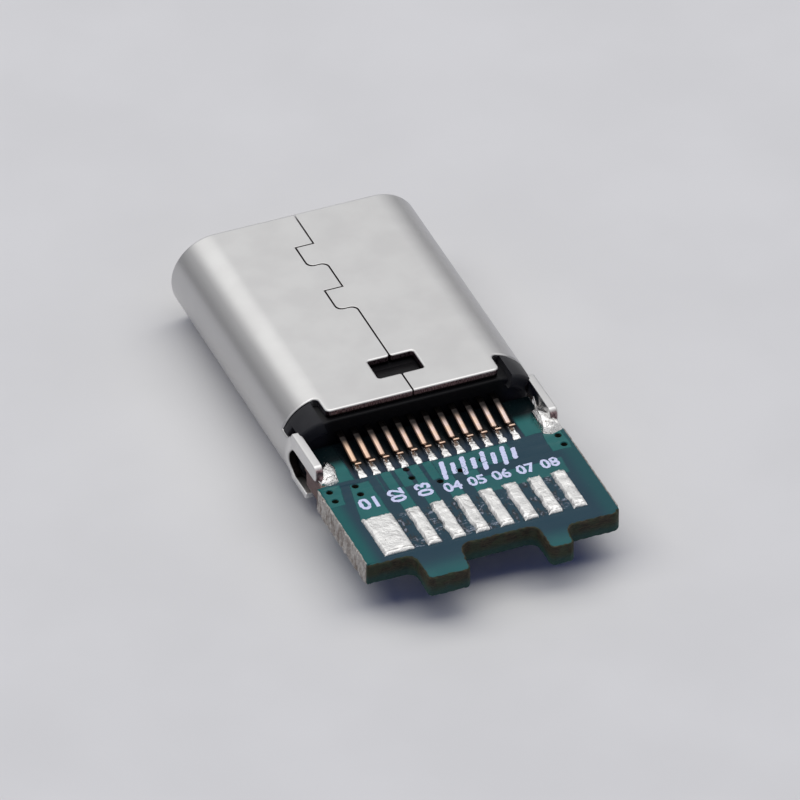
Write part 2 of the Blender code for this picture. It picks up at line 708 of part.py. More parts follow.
def build_wire_pads(material):
    """One wide and seven narrow tinned pads for wires, on both faces of the board."""
    wide = WIDE_PAD_FROM_LEFT - BOARD_HALF
    spans = [(wide, wide + WIDE_PAD_WIDTH)]
    first = wide + WIDE_PAD_WIDTH + WIDE_PAD_GAP
    last = BOARD_HALF - WIRE_PADS_FROM_RIGHT - WIRE_PAD_WIDTH
    for index in range(WIRE_PAD_COUNT):
        left = first + (last - first) * index / (WIRE_PAD_COUNT - 1)
        spans.append((left, left + WIRE_PAD_WIDTH))
    for place in ("top", "bottom"):
        for index, span in enumerate(spans):
            bm = bmesh.new()
            add_tinned_pad(bm, span, (-WIRE_PAD_REAR, -WIRE_PAD_FRONT), BOARD_TOP + SEAT)
            if place == "bottom":
                mirror_height(bm)
            make_object(f"wire_pad_{place}_{index + 1}", bm, material, smooth_angle=60)


def solder_lump(side, span, base):
    """Half an ellipsoid of solder on the plane z = base, between two values of y."""
    outer = ARM_FACE - SEAT
    middle = Vector((side * (outer - SOLDER_WIDTH / 2), sum(span) / 2, base))
    half = Vector((SOLDER_WIDTH / 2, (span[1] - span[0]) / 2, SOLDER_HEIGHT))
    bm = bmesh.new()
    bmesh.ops.create_uvsphere(bm, u_segments=20, v_segments=12, radius=1)
    for vert in bm.verts:
        vert.co = middle + vert.co * half
    foot = bmesh.ops.bisect_plane(
        bm, geom=bm.verts[:] + bm.edges[:] + bm.faces[:], dist=1e-9,
        plane_co=(0, 0, base), plane_no=(0, 0, 1), clear_inner=True)
    rim = [item for item in foot["geom_cut"] if isinstance(item, bmesh.types.BMEdge)]
    bmesh.ops.edgeloop_fill(bm, edges=rim)
    bmesh.ops.recalc_face_normals(bm, faces=bm.faces)
    return bm


def build_arm_solder(material):
    """Lump of solder in each corner between an arm and the board, wrapped round its prong."""
    upper_end = -UPPER_PRONG_REACH - SOLDER_OVERRUN
    lower_end = -LOWER_PRONG_REACH - LOWER_SOLDER_OVERRUN
    spans = {
        "top": (upper_end, upper_end + SOLDER_LENGTH),
        "bottom": (lower_end, lower_end + LOWER_SOLDER_LENGTH),
    }
    arm_inner = ARM_FACE - SHELL_WALL - SEAT
    bm = bmesh.new()
    for side in (-1, 1):
        flank = sorted((side * arm_inner, side * SHELL_WIDTH))
        add_box(bm, flank, (-UPPER_PRONG_REACH - SEAT, SHELL_LENGTH), (MID_HEIGHT, SHELL_HEIGHT))
        add_box(bm, flank, (-LOWER_PRONG_REACH - SEAT, SHELL_LENGTH), (0, MID_HEIGHT))
    arm_space = make_tool("arm_space", bm)
    for side, side_name in ((-1, "left"), (1, "right")):
        for place, span in spans.items():
            lump = solder_lump(side, span, BOARD_TOP + SEAT)
            if place == "bottom":
                mirror_height(lump)
            solder = make_object(f"arm_solder_{place}_{side_name}", lump, material, smooth_angle=50)
            combine(solder, arm_space, 'DIFFERENCE')


def build_edge_tin(material):
    """Tin coat on each long side edge of the board, slightly crowned."""
    inner = BOARD_HALF + SEAT
    low = MID_HEIGHT - BOARD_THICKNESS / 2
    profile = [(inner, low), (inner + EDGE_TIN_RIM, low), (inner + EDGE_TIN_THICKNESS, MID_HEIGHT),
               (inner + EDGE_TIN_RIM, BOARD_TOP), (inner, BOARD_TOP)]
    sides = (
        ("left", -1, BOARD_REAR_LEFT - BOARD_LEFT_ROUND),
        ("right", 1, BOARD_REAR_RIGHT - BOARD_RIGHT_ROUND),
    )
    for side_name, side, corner in sides:
        bm = bmesh.new()
        add_prism(bm, [(side * x, z) for x, z in profile], EDGE_TIN_END - corner, -EDGE_TIN_START, "XZ")
        make_object(f"edge_tin_{side_name}", bm, material)


for leftover in list(bpy.data.objects):
    bpy.data.objects.remove(leftover, do_unlink=True)
DATUM = bpy.data.objects.new("rear_lip", None)
DATUM.location = (0, LIP_Y, 0)
bpy.context.scene.collection.objects.link(DATUM)

nickel = make_material("nickel_plated_sheet", (0.62, 0.61, 0.60), 0.32, 1.0)
black_plastic = make_material("black_plastic", (0.018, 0.018, 0.020), 0.45, 0.0)
gold = make_material("gold_plated_copper", (0.85, 0.56, 0.36), 0.28, 1.0)
steel = make_material("stainless_sheet", (0.55, 0.55, 0.56), 0.30, 1.0)
solder_mask = make_material("green_solder_mask", (0.045, 0.19, 0.17), 0.30, 0.0)
tin = make_material("solder_tin", (0.80, 0.80, 0.79), 0.30, 1.0)

build_shell(nickel)
build_housing(black_plastic)
build_contacts(gold)
build_plates(steel)
build_board(solder_mask)
build_wire_pads(tin)
build_arm_solder(tin)
build_edge_tin(tin)
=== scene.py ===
"""Looks of a USB-C in-line socket that is clamped on a short circuit board.

Lengths are in millimetres, measured from the middle of the shell's rear lip on the table, with
+Y out of the plug mouth and +Z up. settle() turns them into the frame's metres.
"""
import math

import bmesh
import bpy
import numpy as np
from mathutils import Matrix, Vector
from mathutils.geometry import tessellate_polygon


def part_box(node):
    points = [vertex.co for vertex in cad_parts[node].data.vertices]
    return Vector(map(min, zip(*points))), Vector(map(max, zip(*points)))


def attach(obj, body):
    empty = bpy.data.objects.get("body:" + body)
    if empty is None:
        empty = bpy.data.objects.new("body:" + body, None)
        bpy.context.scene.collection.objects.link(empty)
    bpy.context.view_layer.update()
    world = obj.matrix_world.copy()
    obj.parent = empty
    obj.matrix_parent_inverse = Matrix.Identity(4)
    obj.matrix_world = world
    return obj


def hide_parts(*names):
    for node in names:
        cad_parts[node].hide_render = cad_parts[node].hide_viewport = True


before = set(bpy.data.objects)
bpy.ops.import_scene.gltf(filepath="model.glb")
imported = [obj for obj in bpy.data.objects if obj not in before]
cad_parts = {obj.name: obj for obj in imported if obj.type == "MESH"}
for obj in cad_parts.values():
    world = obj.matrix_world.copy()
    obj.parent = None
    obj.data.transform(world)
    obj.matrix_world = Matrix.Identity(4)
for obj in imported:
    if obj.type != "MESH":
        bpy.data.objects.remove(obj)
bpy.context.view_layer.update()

# Camera and table
# The part lies on a pale table under one very broad soft lamp, hung almost overhead, and is seen
# from above its board end through a long lens. Cool light from the room fills its shadow, and
# its metal mirrors a grey room that is bright overhead and at a window.

METRE = 0.001
SHELL_LENGTH = 10.60
shell_low, shell_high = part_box("shell")
LIP_Y = shell_high.y / METRE - SHELL_LENGTH

VIEW_TURN = math.radians(-22.3253)
VIEW_HEIGHT = math.radians(37.2597)
VIEW_DISTANCE = 400.0
VIEW_SHIFT = (-0.438, -0.334)
LENS, SENSOR = 544.04, 36.0
LAMP_DISTANCE, LAMP_HEIGHT, LAMP_TURN = 700.0, math.radians(81), math.radians(-10)
LAMP_SIZE, LAMP_POWER, LAMP_COLOUR = (1500.0, 700.0), 8.35, (1.0, 0.99, 0.93)
ROOM_FILL = (0.055, 0.075, 0.25, 1)
ROOM_LOW, ROOM_HIGH, OVERHEAD = (0.26, 0.26, 0.27, 1), (0.79, 0.79, 0.80, 1), (1.7, 1.69, 1.68, 1)
WINDOW_HEADING, WINDOW = (-0.10, 0.736, 0.669), (1.05, 1.05, 1.05, 1)
TABLE_SIZE, TABLE_CLOUDS = 900.0, 7.0


def tone(red, green, blue):
    """Linear colour of a display colour given from 0 to 255."""
    shown = np.array((red, green, blue)) / 255
    linear = np.where(shown <= 0.04045, shown / 12.92, ((shown + 0.055) / 1.055) ** 2.4)
    return (*linear.tolist(), 1.0)


class Field:
    """A value that varies over a surface: one node output, whose arithmetic adds Math nodes."""

    def __init__(self, finish, socket):
        self.finish = finish
        self.socket = socket

    def maths(self, operation, *values):
        return self.finish.node("ShaderNodeMath", {"operation": operation}, dict(enumerate(values)))

    def __add__(self, other):
        return self.maths("ADD", self, other)

    def __sub__(self, other):
        return self.maths("SUBTRACT", self, other)

    def __rsub__(self, other):
        return self.maths("SUBTRACT", other, self)

    def __mul__(self, other):
        return self.maths("MULTIPLY", self, other)

    def __truediv__(self, other):
        return self.maths("DIVIDE", self, other)

    def __mod__(self, other):
        return self.maths("FLOORED_MODULO", self, other)

    def __abs__(self):
        return self.maths("ABSOLUTE", self)

    def __or__(self, other):
        return self.maths("MAXIMUM", self, other)

    __radd__ = __add__
    __rmul__ = __mul__

    def rise(self, low, high):
        """Smooth step: 0 where the value is low, 1 where it is high, in either order."""
        if low > high:
            return 1 - self.rise(high, low)
        return self.finish.node(
            "ShaderNodeMapRange", {"interpolation_type": "SMOOTHSTEP"},
            {"Value": self, "From Min": low, "From Max": high})

    def within(self, low, high, soft):
        """1 between two values and 0 outside them, with soft edges."""
        return self.rise(low - soft / 2, low + soft / 2) * self.rise(high + soft / 2, high - soft / 2)


class Finish:
    """The nodes of a new material, given by its name, or of the surroundings."""

    def __init__(self, owner):
        if isinstance(owner, str):
            owner = bpy.data.materials.new(owner)
        owner.use_nodes = True
        self.owner = owner
        self.nodes = owner.node_tree.nodes
        self.links = owner.node_tree.links

    def feed(self, socket, value):
        if isinstance(value, Field):
            self.links.new(value.socket, socket)
        else:
            socket.default_value = value

    def node(self, kind, settings=None, inputs=None, output=0):
        """Add a node: its settings first, then the values or links of its sockets."""
        made = self.nodes.new(kind)
        for name, value in (settings or {}).items():
            setattr(made, name, value)
        for key, value in (inputs or {}).items():
            self.feed(made.inputs[key], value)
        return Field(self, made.outputs[output])

    def shade(self, share, low, high):
        """Colour low where the share is 0, and high where it is 1."""
        return self.node("ShaderNodeMix", {"data_type": "RGBA"}, {0: share, 6: low, 7: high}, 2)

    def place(self, stretch=(1, 1, 1)):
        """Place on the part in millimetres from the rear lip, stretched along each axis."""
        spot = self.node("ShaderNodeTexCoord", output=3)
        return self.node(
            "ShaderNodeVectorMath", {"operation": "MULTIPLY_ADD"},
            {0: spot, 1: [k / METRE for k in stretch], 2: (0, -LIP_Y * stretch[1], 0)})

    def axes(self, vector):
        """The three parts of a vector."""
        split = self.node("ShaderNodeSeparateXYZ", inputs={0: vector})
        return [Field(self, output) for output in split.socket.node.outputs]

    def grain(self, size, detail=3, stretch=(1, 1, 1), rough=0.5):
        """Cloudy noise about the value 0.5, with patches of a size in millimetres."""
        return self.node("ShaderNodeTexNoise", inputs={
            "Vector": self.place(stretch), "Scale": 1 / size, "Detail": detail, "Roughness": rough})

    def relief(self, height):
        """Normal of a surface raised by a height in millimetres."""
        return self.node("ShaderNodeBump", inputs={
            "Strength": 1.0, "Distance": METRE, "Height": height})

    def coat(self, **values):
        """Set the surface shader's own sockets, named with _ for a space."""
        shader = self.nodes["Principled BSDF"]
        for name, value in values.items():
            self.feed(shader.inputs[name.replace("_", " ")], value)


def camera_axes(turn, height):
    """Rightward, upward and backward directions of a camera at this turn and height."""
    right = np.array((math.cos(turn), math.sin(turn), 0.0))
    back = np.array((math.sin(turn) * math.cos(height), -math.cos(turn) * math.cos(height),
                     math.sin(height)))
    return right, np.cross(back, right), back


def stand(obj, spot, axes):
    """Place a camera or lamp at a spot in millimetres, with its three axes."""
    turned = Matrix(np.column_stack(axes).tolist()).to_4x4()
    obj.matrix_world = Matrix.Translation(Vector(spot) * METRE) @ turned
    bpy.context.scene.collection.objects.link(obj)


middle = np.array((0.0, LIP_Y, shell_high.z / METRE))
right, up, back = camera_axes(VIEW_TURN, VIEW_HEIGHT)
lens = bpy.data.cameras.new("view")
lens.lens = LENS
lens.sensor_width = SENSOR
lens.clip_start = 0.01
camera = bpy.data.objects.new("view", lens)
stand(camera, middle + back * VIEW_DISTANCE + right * VIEW_SHIFT[0] + up * VIEW_SHIFT[1],
      (right, up, back))
bpy.context.scene.camera = camera

lamp = bpy.data.lights.new("soft_lamp", 'AREA')
lamp.shape = 'RECTANGLE'
lamp.size, lamp.size_y = (side * METRE for side in LAMP_SIZE)
lamp.energy = LAMP_POWER
lamp.color = LAMP_COLOUR
lamp_axes = camera_axes(math.pi + LAMP_TURN, LAMP_HEIGHT)
soft_lamp = bpy.data.objects.new("soft_lamp", lamp)
soft_lamp.visible_glossy = False
stand(soft_lamp, middle + lamp_axes[2] * LAMP_DISTANCE, lamp_axes)

BACKDROP = tone(207, 207, 210)
surroundings = Finish(bpy.context.scene.world or bpy.data.worlds.new("surroundings"))
bpy.context.scene.world = surroundings.owner
heading = surroundings.axes(surroundings.node("ShaderNodeTexCoord", output=0))
to_window = sum(part * share for part, share in zip(heading, WINDOW_HEADING))
around = surroundings.shade(heading[2].rise(0.0, 0.62), ROOM_LOW, ROOM_HIGH)
around = surroundings.shade(to_window.rise(0.925, 0.985), around, WINDOW)
around = surroundings.shade(heading[2].rise(0.72, 1.0), around, OVERHEAD)
path = surroundings.node("ShaderNodeLightPath").socket.node.outputs
seen, mirrored, through = (
    Field(surroundings, path[name])
    for name in ("Is Camera Ray", "Is Glossy Ray", "Is Transmission Ray"))
light = surroundings.shade(mirrored | through, ROOM_FILL, around)
surroundings.feed(surroundings.nodes["Background"].inputs["Color"],
                  surroundings.shade(seen, light, BACKDROP))
bpy.context.scene.view_settings.view_transform = 'Standard'

table = Finish("pale_table")
clouds = table.grain(TABLE_CLOUDS, 3).rise(0.3, 0.7)
table.coat(Base_Color=table.shade(clouds, tone(205, 204, 198), tone(209, 208, 202)),
           Roughness=0.7, Specular_IOR_Level=0.2)
table_mesh = bpy.data.meshes.new("table")
edge = TABLE_SIZE * METRE
table_mesh.from_pydata([(-edge, -edge, 0), (edge, -edge, 0), (edge, edge, 0), (-edge, edge, 0)],
                       [], [(0, 1, 2, 3)])
table_mesh.materials.append(table.owner)
table_top = bpy.data.objects.new("table", table_mesh)
bpy.context.scene.collection.objects.link(table_top)

# Shell
# One blank of nickel-plated steel, stamped out, rolled into a tube with half-round sides and
# closed on top by two keys. Stamping rolls its outer edges over and leaves some cuts bare. Down
# the rolled sides the plating is darkened as painted shade.

SHELL_WIDTH = (shell_high.x - shell_low.x) / METRE
SHELL_HEIGHT = (shell_high.z - shell_low.z) / METRE
WALL = 0.30
SEAM_GAP = 0.05
EDGE_ROLL, SEAM_SHARE, BURR, EDGE_MARGIN = 0.065, 0.25, 0.015, 0.03
STAMPED_ROUND, PRONG_ROUND = 0.05, 0.14
KEY_REACH, KEY_LENGTH, KEY_ROUND, KEY_FRONTS = 0.65, 1.17, 0.24, (6.21, 8.82)
WINDOW_WIDTH, WINDOW_LENGTH, WINDOW_FROM_LIP, WINDOW_ROUND = 1.64, 1.02, 1.03, 0.09
LIP_INSET, NOTCH_DEPTH, NOTCH_ROUND = 1.35, 0.85, 0.20
RELIEF_HEIGHT, RELIEF_FROM_LIP = 0.64, 0.40
ARM_INSET, ARM_RISE, ARM_DROP, ARM_ROOT, ARM_ROUND, ARM_CHAMFER = 0.12, 0.99, 0.85, 0.03, 0.10, 0.16
UPPER_PRONG_REACH, LOWER_PRONG_REACH = 2.08, 1.22
FORK_RISE, FORK_DROP, FORK_FLARE, FORK_ROUND, FORK_FROM_LIP = 0.40, 0.62, 0.03, 0.44, 0.17
ARM_BEND_START, ARM_BEND_END = 0.36, -0.04
BEND_CREASES, ARM_CREASES, ARC_STEPS = 48, 10, 6
BARE_SHARES = (0, 0, 0, 0, 0.3, 1, 1, 0.6, 0)
BARE_LIP, BARE_SEAM, BARE_FORK, PLATED_RIM = 3.3, 1.9, 1.1, 0.3
FLANK_TOP, FLANK_FULL_SHADE = 3.04, 2.80
PLATE = ((0.695, 0.69, 0.685, 1), (0.74, 0.737, 0.73, 1))
SHADED_PLATE, UNLIT_CUT = (0.54, 0.537, 0.535, 1), (0.012, 0.010, 0.010, 1)
CUT_STEEL = ((0.095, 0.058, 0.064, 1), (0.32, 0.225, 0.235, 1))

END_RADIUS = SHELL_HEIGHT / 2
HALF_FLAT = SHELL_WIDTH / 2 - END_RADIUS
MID_HEIGHT = SHELL_HEIGHT / 2
SIDE_LINE = HALF_FLAT + END_RADIUS * math.pi / 2
SEAM_LINE = 2 * SIDE_LINE
ARM_FACE = SHELL_WIDTH / 2 - ARM_INSET
ROOF = SHELL_HEIGHT - WALL


def spread(*coordinates):
    """Points from their coordinates, which are broadcast against each other."""
    return np.stack(np.broadcast_arrays(*coordinates), axis=-1)


def unit(steps):
    """Steps in the plane, each scaled to the length 1."""
    return steps / np.maximum(np.linalg.norm(steps, axis=1, keepdims=True), 1e-6)


def leftward(steps):
    """Steps in the plane, each given a quarter turn to the left."""
    return spread(-steps[:, 1], steps[:, 0])


def arcs_through(corners, radii, steps, inset=0.0):
    """Closed outline through corners, each turned into an arc of steps + 1 points.

    Both edges of a corner are first moved inwards by inset, one value or one for each edge, and
    the corner goes to where they cross. An arc starts its radius times the tangent of half the
    turn before the corner. Moving inwards takes the inset off an outer corner's radius and adds
    it to an inner corner's.
    """
    inset = np.broadcast_to(inset, len(corners))
    ahead = np.roll(corners, -1, axis=0) - corners
    edge_out, length_out = unit(ahead), np.linalg.norm(ahead, axis=1)
    edge_in, length_in = np.roll(edge_out, 1, axis=0), np.roll(length_out, 1)
    inset_in, inward_in = np.roll(inset, 1), leftward(edge_in)
    sides = np.stack([inward_in, leftward(edge_out)], axis=1)
    moves = np.linalg.pinv(sides) @ np.stack([inset_in, inset], axis=1)[:, :, None]
    turn = np.arctan2(edge_in[:, 0] * edge_out[:, 1] - edge_in[:, 1] * edge_out[:, 0],
                      (edge_in * edge_out).sum(axis=1))
    hand = np.where(turn < 0, -1.0, 1.0)
    radius = np.maximum(radii - hand * (inset_in + inset) / 2, 0.0)
    tangent = np.maximum(np.tan(np.abs(turn) / 2), 1e-6)
    radius = np.minimum(radius * tangent, 0.48 * np.minimum(length_in, length_out)) / tangent
    start = corners + moves[:, :, 0] - edge_in * (radius * tangent)[:, None]
    centre = start + inward_in * (hand * radius)[:, None]
    angle = turn[:, None] * np.linspace(0, 1, steps + 1)
    spoke = -inward_in * (hand * radius)[:, None]
    cos, sin = np.cos(angle), np.sin(angle)
    points = spread(spoke[:, :1] * cos - spoke[:, 1:] * sin, spoke[:, :1] * sin + spoke[:, 1:] * cos)
    return (centre[:, None] + points).reshape(-1, 2)


def loft(rings, capped=True):
    """Skin over a stack of closed rings of points, capped at the first and the last ring."""
    count, around = rings.shape[:2]
    index = np.arange(count * around).reshape(count, around)
    after = np.roll(index, -1, axis=1)
    quads = np.stack([index[:-1], after[:-1], after[1:], index[1:]], axis=-1).reshape(-1, 4)
    caps = [index[0, ::-1].tolist(), index[-1].tolist()] if capped else []
    return rings.reshape(-1, 3), quads.tolist() + caps


def settle(name, parts, material, nodes=(), crease=35, marks=None, shape=None):
    """One finished piece from (points, faces) parts, in the frame's metres, on the part's body.

    marks are values kept at each point for the material, and shape is a last change to the
    bmesh and then to the points.
    """
    points = np.concatenate([part[0] for part in parts])
    starts = np.cumsum([0] + [len(part[0]) for part in parts])
    faces = [[start + corner for corner in face]
             for start, part in zip(starts.tolist(), parts) for face in part[1]]
    mesh = bpy.data.meshes.new(name)
    mesh.from_pydata(points.tolist(), [], faces)
    for mark, values in (marks or {}).items():
        mesh.attributes.new(mark, 'FLOAT', 'POINT').data.foreach_set("value", values)
    bm = bmesh.new()
    bm.from_mesh(mesh)
    bmesh.ops.remove_doubles(bm, verts=bm.verts, dist=0.0004)
    bmesh.ops.recalc_face_normals(bm, faces=bm.faces)
    if shape:
        shape[0](bm)
    bm.to_mesh(mesh)
    bm.free()
    flat = np.empty(len(mesh.vertices) * 3, np.float32)
    mesh.vertices.foreach_get("co", flat)
    placed = flat.reshape(-1, 3).astype(float)
    if shape:
        placed = shape[1](placed)
    placed = (placed + (0, LIP_Y, 0)) * METRE
    mesh.vertices.foreach_set("co", placed.astype(np.float32).ravel())
    mesh.shade_smooth()
    mesh.set_sharp_from_angle(angle=math.radians(crease))
    mesh.materials.append(material)
    piece = bpy.data.objects.new(name, mesh)
    bpy.context.scene.collection.objects.link(piece)
    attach(piece, "root")
    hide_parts(*nodes)


def section(s, depth):
    """Rolled section (x, z) at blank coordinate s, some depth under the outer skin.

    s is 0 in the middle of the underside: a flat run, then a half circle whose angle is the run
    past the flat over the radius, then the flat top back to the seam.
    """
    side, run = np.where(s < 0, -1.0, 1.0), np.abs(s)
    turn = np.clip((run - HALF_FLAT) / END_RADIUS, 0, math.pi)
    over = np.maximum(run - HALF_FLAT - math.pi * END_RADIUS, 0)
    radius = END_RADIUS - depth
    x = np.minimum(run, HALF_FLAT) + radius * np.sin(turn) - over
    return side * x, MID_HEIGHT - radius * np.cos(turn)


def rolled(blank):
    """Place of blank points (s, y, depth); behind the lip the side arms are pressed flat."""
    s, y, depth = blank.T
    x, z = section(s, depth)
    above = np.abs(s) - SIDE_LINE
    share = np.clip((ARM_BEND_START - y) / (ARM_BEND_START - ARM_BEND_END), 0, 1)
    share = share ** 2 * (3 - 2 * share)
    share *= (above > -ARM_DROP - RELIEF_FROM_LIP) & (above < ARM_RISE + RELIEF_FROM_LIP)
    x += share * (np.where(s < 0, -1.0, 1.0) * (ARM_FACE - depth) - x)
    z += share * (MID_HEIGHT + above - z)
    return spread(x, y, z)


def half_blank(seam_edge, key_edge, slack):
    """Corners (s, y, radius) of half the blank, from the rear middle of the underside round the
    side arm to the seam on top, then forward past window and keys to the mouth.
    """
    lip_low = HALF_FLAT - LIP_INSET + END_RADIUS
    lip_high = SEAM_LINE - lip_low
    arm_low, arm_high = SIDE_LINE - ARM_DROP, SIDE_LINE + ARM_RISE
    fork_low, fork_high = SIDE_LINE - FORK_DROP, SIDE_LINE + FORK_RISE
    window_edge, window_front = SEAM_LINE - WINDOW_WIDTH / 2, WINDOW_FROM_LIP + WINDOW_LENGTH
    corners = [
        (0, 0, 0),
        (lip_low, 0, NOTCH_ROUND),
        (lip_low, NOTCH_DEPTH, NOTCH_ROUND),
        (SIDE_LINE - RELIEF_HEIGHT, NOTCH_DEPTH, 0),
        (SIDE_LINE - RELIEF_HEIGHT, RELIEF_FROM_LIP, STAMPED_ROUND),
        (arm_low, ARM_ROOT, ARM_ROUND),
        (arm_low, -LOWER_PRONG_REACH, STAMPED_ROUND),
        (fork_low, -LOWER_PRONG_REACH, STAMPED_ROUND),
        (fork_low, FORK_FROM_LIP, FORK_ROUND),
        (fork_high, FORK_FROM_LIP, FORK_ROUND),
        (fork_high + FORK_FLARE, -UPPER_PRONG_REACH, PRONG_ROUND),
        (arm_high - ARM_CHAMFER, -UPPER_PRONG_REACH, PRONG_ROUND),
        (arm_high, -UPPER_PRONG_REACH + ARM_CHAMFER, PRONG_ROUND),
        (arm_high, ARM_ROOT, ARM_ROUND),
        (SIDE_LINE + RELIEF_HEIGHT, RELIEF_FROM_LIP, STAMPED_ROUND),
        (SIDE_LINE + RELIEF_HEIGHT, NOTCH_DEPTH, 0),
        (lip_high, NOTCH_DEPTH, NOTCH_ROUND),
        (lip_high, 0, NOTCH_ROUND),
        (seam_edge, 0, 0),
        (seam_edge, WINDOW_FROM_LIP, WINDOW_ROUND),
        (window_edge, WINDOW_FROM_LIP, WINDOW_ROUND),
        (window_edge, window_front, WINDOW_ROUND),
        (seam_edge, window_front, WINDOW_ROUND),
    ]
    for front in KEY_FRONTS:
        corners += [
            (seam_edge, front - KEY_LENGTH - slack, KEY_ROUND),
            (key_edge, front - KEY_LENGTH - slack, KEY_ROUND),
            (key_edge, front + slack, 0),
            (seam_edge, front + slack, 0),
        ]
    return corners + [(seam_edge, SHELL_LENGTH, 0)]


def blank_rings(corners):
    """Rings round the blank's edge, from the outer skin over the rolled edge to the inner skin.

    The edge section is a quarter circle, the bare cut and a small burr. Along the seam it is
    narrower by one share, so the rings there are moved in and down by less.
    """
    outline, radii = corners[:, :2], corners[:, 2]
    after = np.roll(outline, -1, axis=0)
    seam_side = SEAM_LINE - KEY_REACH - EDGE_ROLL
    by_seam = ((np.abs(outline[:, 0]) > seam_side) & (np.abs(after[:, 0]) > seam_side)
               & (np.abs(outline[:, 0] + after[:, 0]) > 2 * seam_side))
    share = np.where(by_seam, SEAM_SHARE, 1.0)
    along = np.linspace(0, 1, ARC_STEPS + 1)
    before = np.roll(share, 1)[:, None]
    at_point = (before + (share[:, None] - before) * along).ravel()
    turn = np.linspace(0, math.pi / 2, 5)
    skin = [(0, EDGE_ROLL + EDGE_MARGIN, 0)]
    skin += [(0, EDGE_ROLL * (1 - math.sin(t)), EDGE_ROLL * (1 - math.cos(t))) for t in turn]
    skin += [(WALL, 0, -BURR), (WALL, BURR, 0), (WALL, BURR + EDGE_MARGIN, 0)]
    return np.array([
        np.column_stack([arcs_through(outline, radii, ARC_STEPS, inset * share),
                         face + depth * at_point])
        for face, inset, depth in skin])


def crease_blank(bm):
    """Cut the blank along its bend lines, so that it can be rolled."""
    def cut(faces, axis, value):
        normal = Vector((0, 0, 0))
        normal[axis] = 1
        parts = {part for face in faces for part in (*face.verts, *face.edges)}
        found = bmesh.ops.bisect_plane(bm, geom=list(parts) + faces, dist=1e-5,
                                       plane_co=normal * value, plane_no=normal)
        return [item for item in found["geom"] if isinstance(item, bmesh.types.BMFace)]

    for side in (-1, 1):
        for step in range(BEND_CREASES + 1):
            cut(bm.faces[:], 0, side * (HALF_FLAT + math.pi * END_RADIUS * step / BEND_CREASES))
    reach = ARM_RISE + RELIEF_FROM_LIP
    by_arm = [face for face in bm.faces
              if abs(abs(face.calc_center_median().x) - SIDE_LINE) < reach]
    for value in np.linspace(ARM_BEND_END, ARM_BEND_START, ARM_CREASES + 1):
        by_arm = cut(by_arm, 1, float(value))


half_gap = SEAM_GAP / 2
right_half = half_blank(SEAM_LINE - half_gap, SEAM_LINE + KEY_REACH - half_gap, -half_gap)
left_half = half_blank(SEAM_LINE - half_gap, SEAM_LINE - KEY_REACH - half_gap, half_gap)
blank = np.array(right_half + [(-s, y, radius) for s, y, radius in left_half[:0:-1]])
rings = blank_rings(blank)
edge_s, edge_y = np.abs(rings[..., 0]), rings[..., 1]
in_fork = ((edge_s > SIDE_LINE - FORK_DROP - 0.1) & (edge_s < SIDE_LINE + FORK_RISE + 0.2)
           & (edge_y > -BARE_FORK))
at_lip = (edge_s > SEAM_LINE - BARE_LIP) & (edge_y < 0.1)
at_prong = edge_y < -UPPER_PRONG_REACH + 0.08
unplated = at_lip | (edge_s > SEAM_LINE - BARE_SEAM) | in_fork | at_prong
unplated &= edge_y < SHELL_LENGTH - PLATED_RIM
bare = np.array(BARE_SHARES)[:, None] * unplated

nickel = Finish("satin_nickel")
x, y, z = nickel.axes(nickel.place())
mottle = nickel.grain(1.3, 3)
fine = nickel.grain(0.035, 2)
tears = nickel.grain(0.07, 3, stretch=(2.5, 1, 0.6))
bare_cut = nickel.node("ShaderNodeAttribute", {"attribute_name": "bare_cut"}, output=2)
# Painted shade: below the top and ahead of the lip the plating is darkened, as if mirroring the shaded
# table.
flank_shade = z.rise(FLANK_TOP, FLANK_FULL_SHADE) * y.rise(0.1, 0.4) * (0.85 + 0.3 * mottle)
unlit = z.rise(2.98, 2.92) * y.rise(-1.5, -1.2)
plate = nickel.shade(flank_shade, nickel.shade(mottle.rise(0.3, 0.7), *PLATE), SHADED_PLATE)
cut_steel = nickel.shade(unlit, nickel.shade(tears.rise(0.38, 0.62), *CUT_STEEL), UNLIT_CUT)
nickel.coat(
    Base_Color=nickel.shade(bare_cut, plate, cut_steel),
    Metallic=1.0,
    Roughness=0.27 + 0.04 * mottle + 0.05 * fine + 0.12 * bare_cut,
    Normal=nickel.relief(fine * 0.0014))
settle("rolled_shell", [loft(rings)], nickel.owner, ["shell"],
       crease=32, marks={"bare_cut": bare.ravel()}, shape=(crease_blank, rolled))

# Insulator
# Black moulded plastic pushed into the shell from behind: a plug with four lugs that fill the
# notches at the shell's corners, a snap wedge in the window, and the tongue in the mouth.

FIT = 0.02
PLUG_OVERHANG, PLUG_DEPTH, PLUG_ROUND = 0.15, 4.40, 0.07
LUG_OVERHANG, LUG_SLANT, LUG_GROOVE, LUG_CLEARANCE = 0.40, 0.30, 0.38, 0.04
LUG_THICKNESS, LUG_ROUND, FILLER_ROUND = 0.52, 0.10, 0.04
WEDGE_RISE, WEDGE_RAMP, WEDGE_ROUND = 0.22, 0.75, 0.03
TONGUE_WIDTH, TONGUE_THICKNESS, TONGUE_FROM_MOUTH = 6.69, 0.70, 0.95
TONGUE_ROUND, TONGUE_SOFT = 0.40, 0.09
TONGUE_OVERLAP, ROOT_THICKNESS, ROOT_LENGTH, ROOT_ROUND = 0.20, 1.24, 1.15, 0.04
LATCH_NOTCH_DEPTH, LATCH_NOTCH_LENGTH, LATCH_NOTCH_FROM_TIP, LATCH_ROUND = 0.30, 1.00, 2.00, 0.05
TONGUE_TIP = SHELL_LENGTH - TONGUE_FROM_MOUTH
SHADED_BLACK = (0.0025, 0.0025, 0.003, 1)
SCUFFED_LIT_BLACK = ((0.013, 0.013, 0.014, 1), (0.030, 0.030, 0.031, 1))


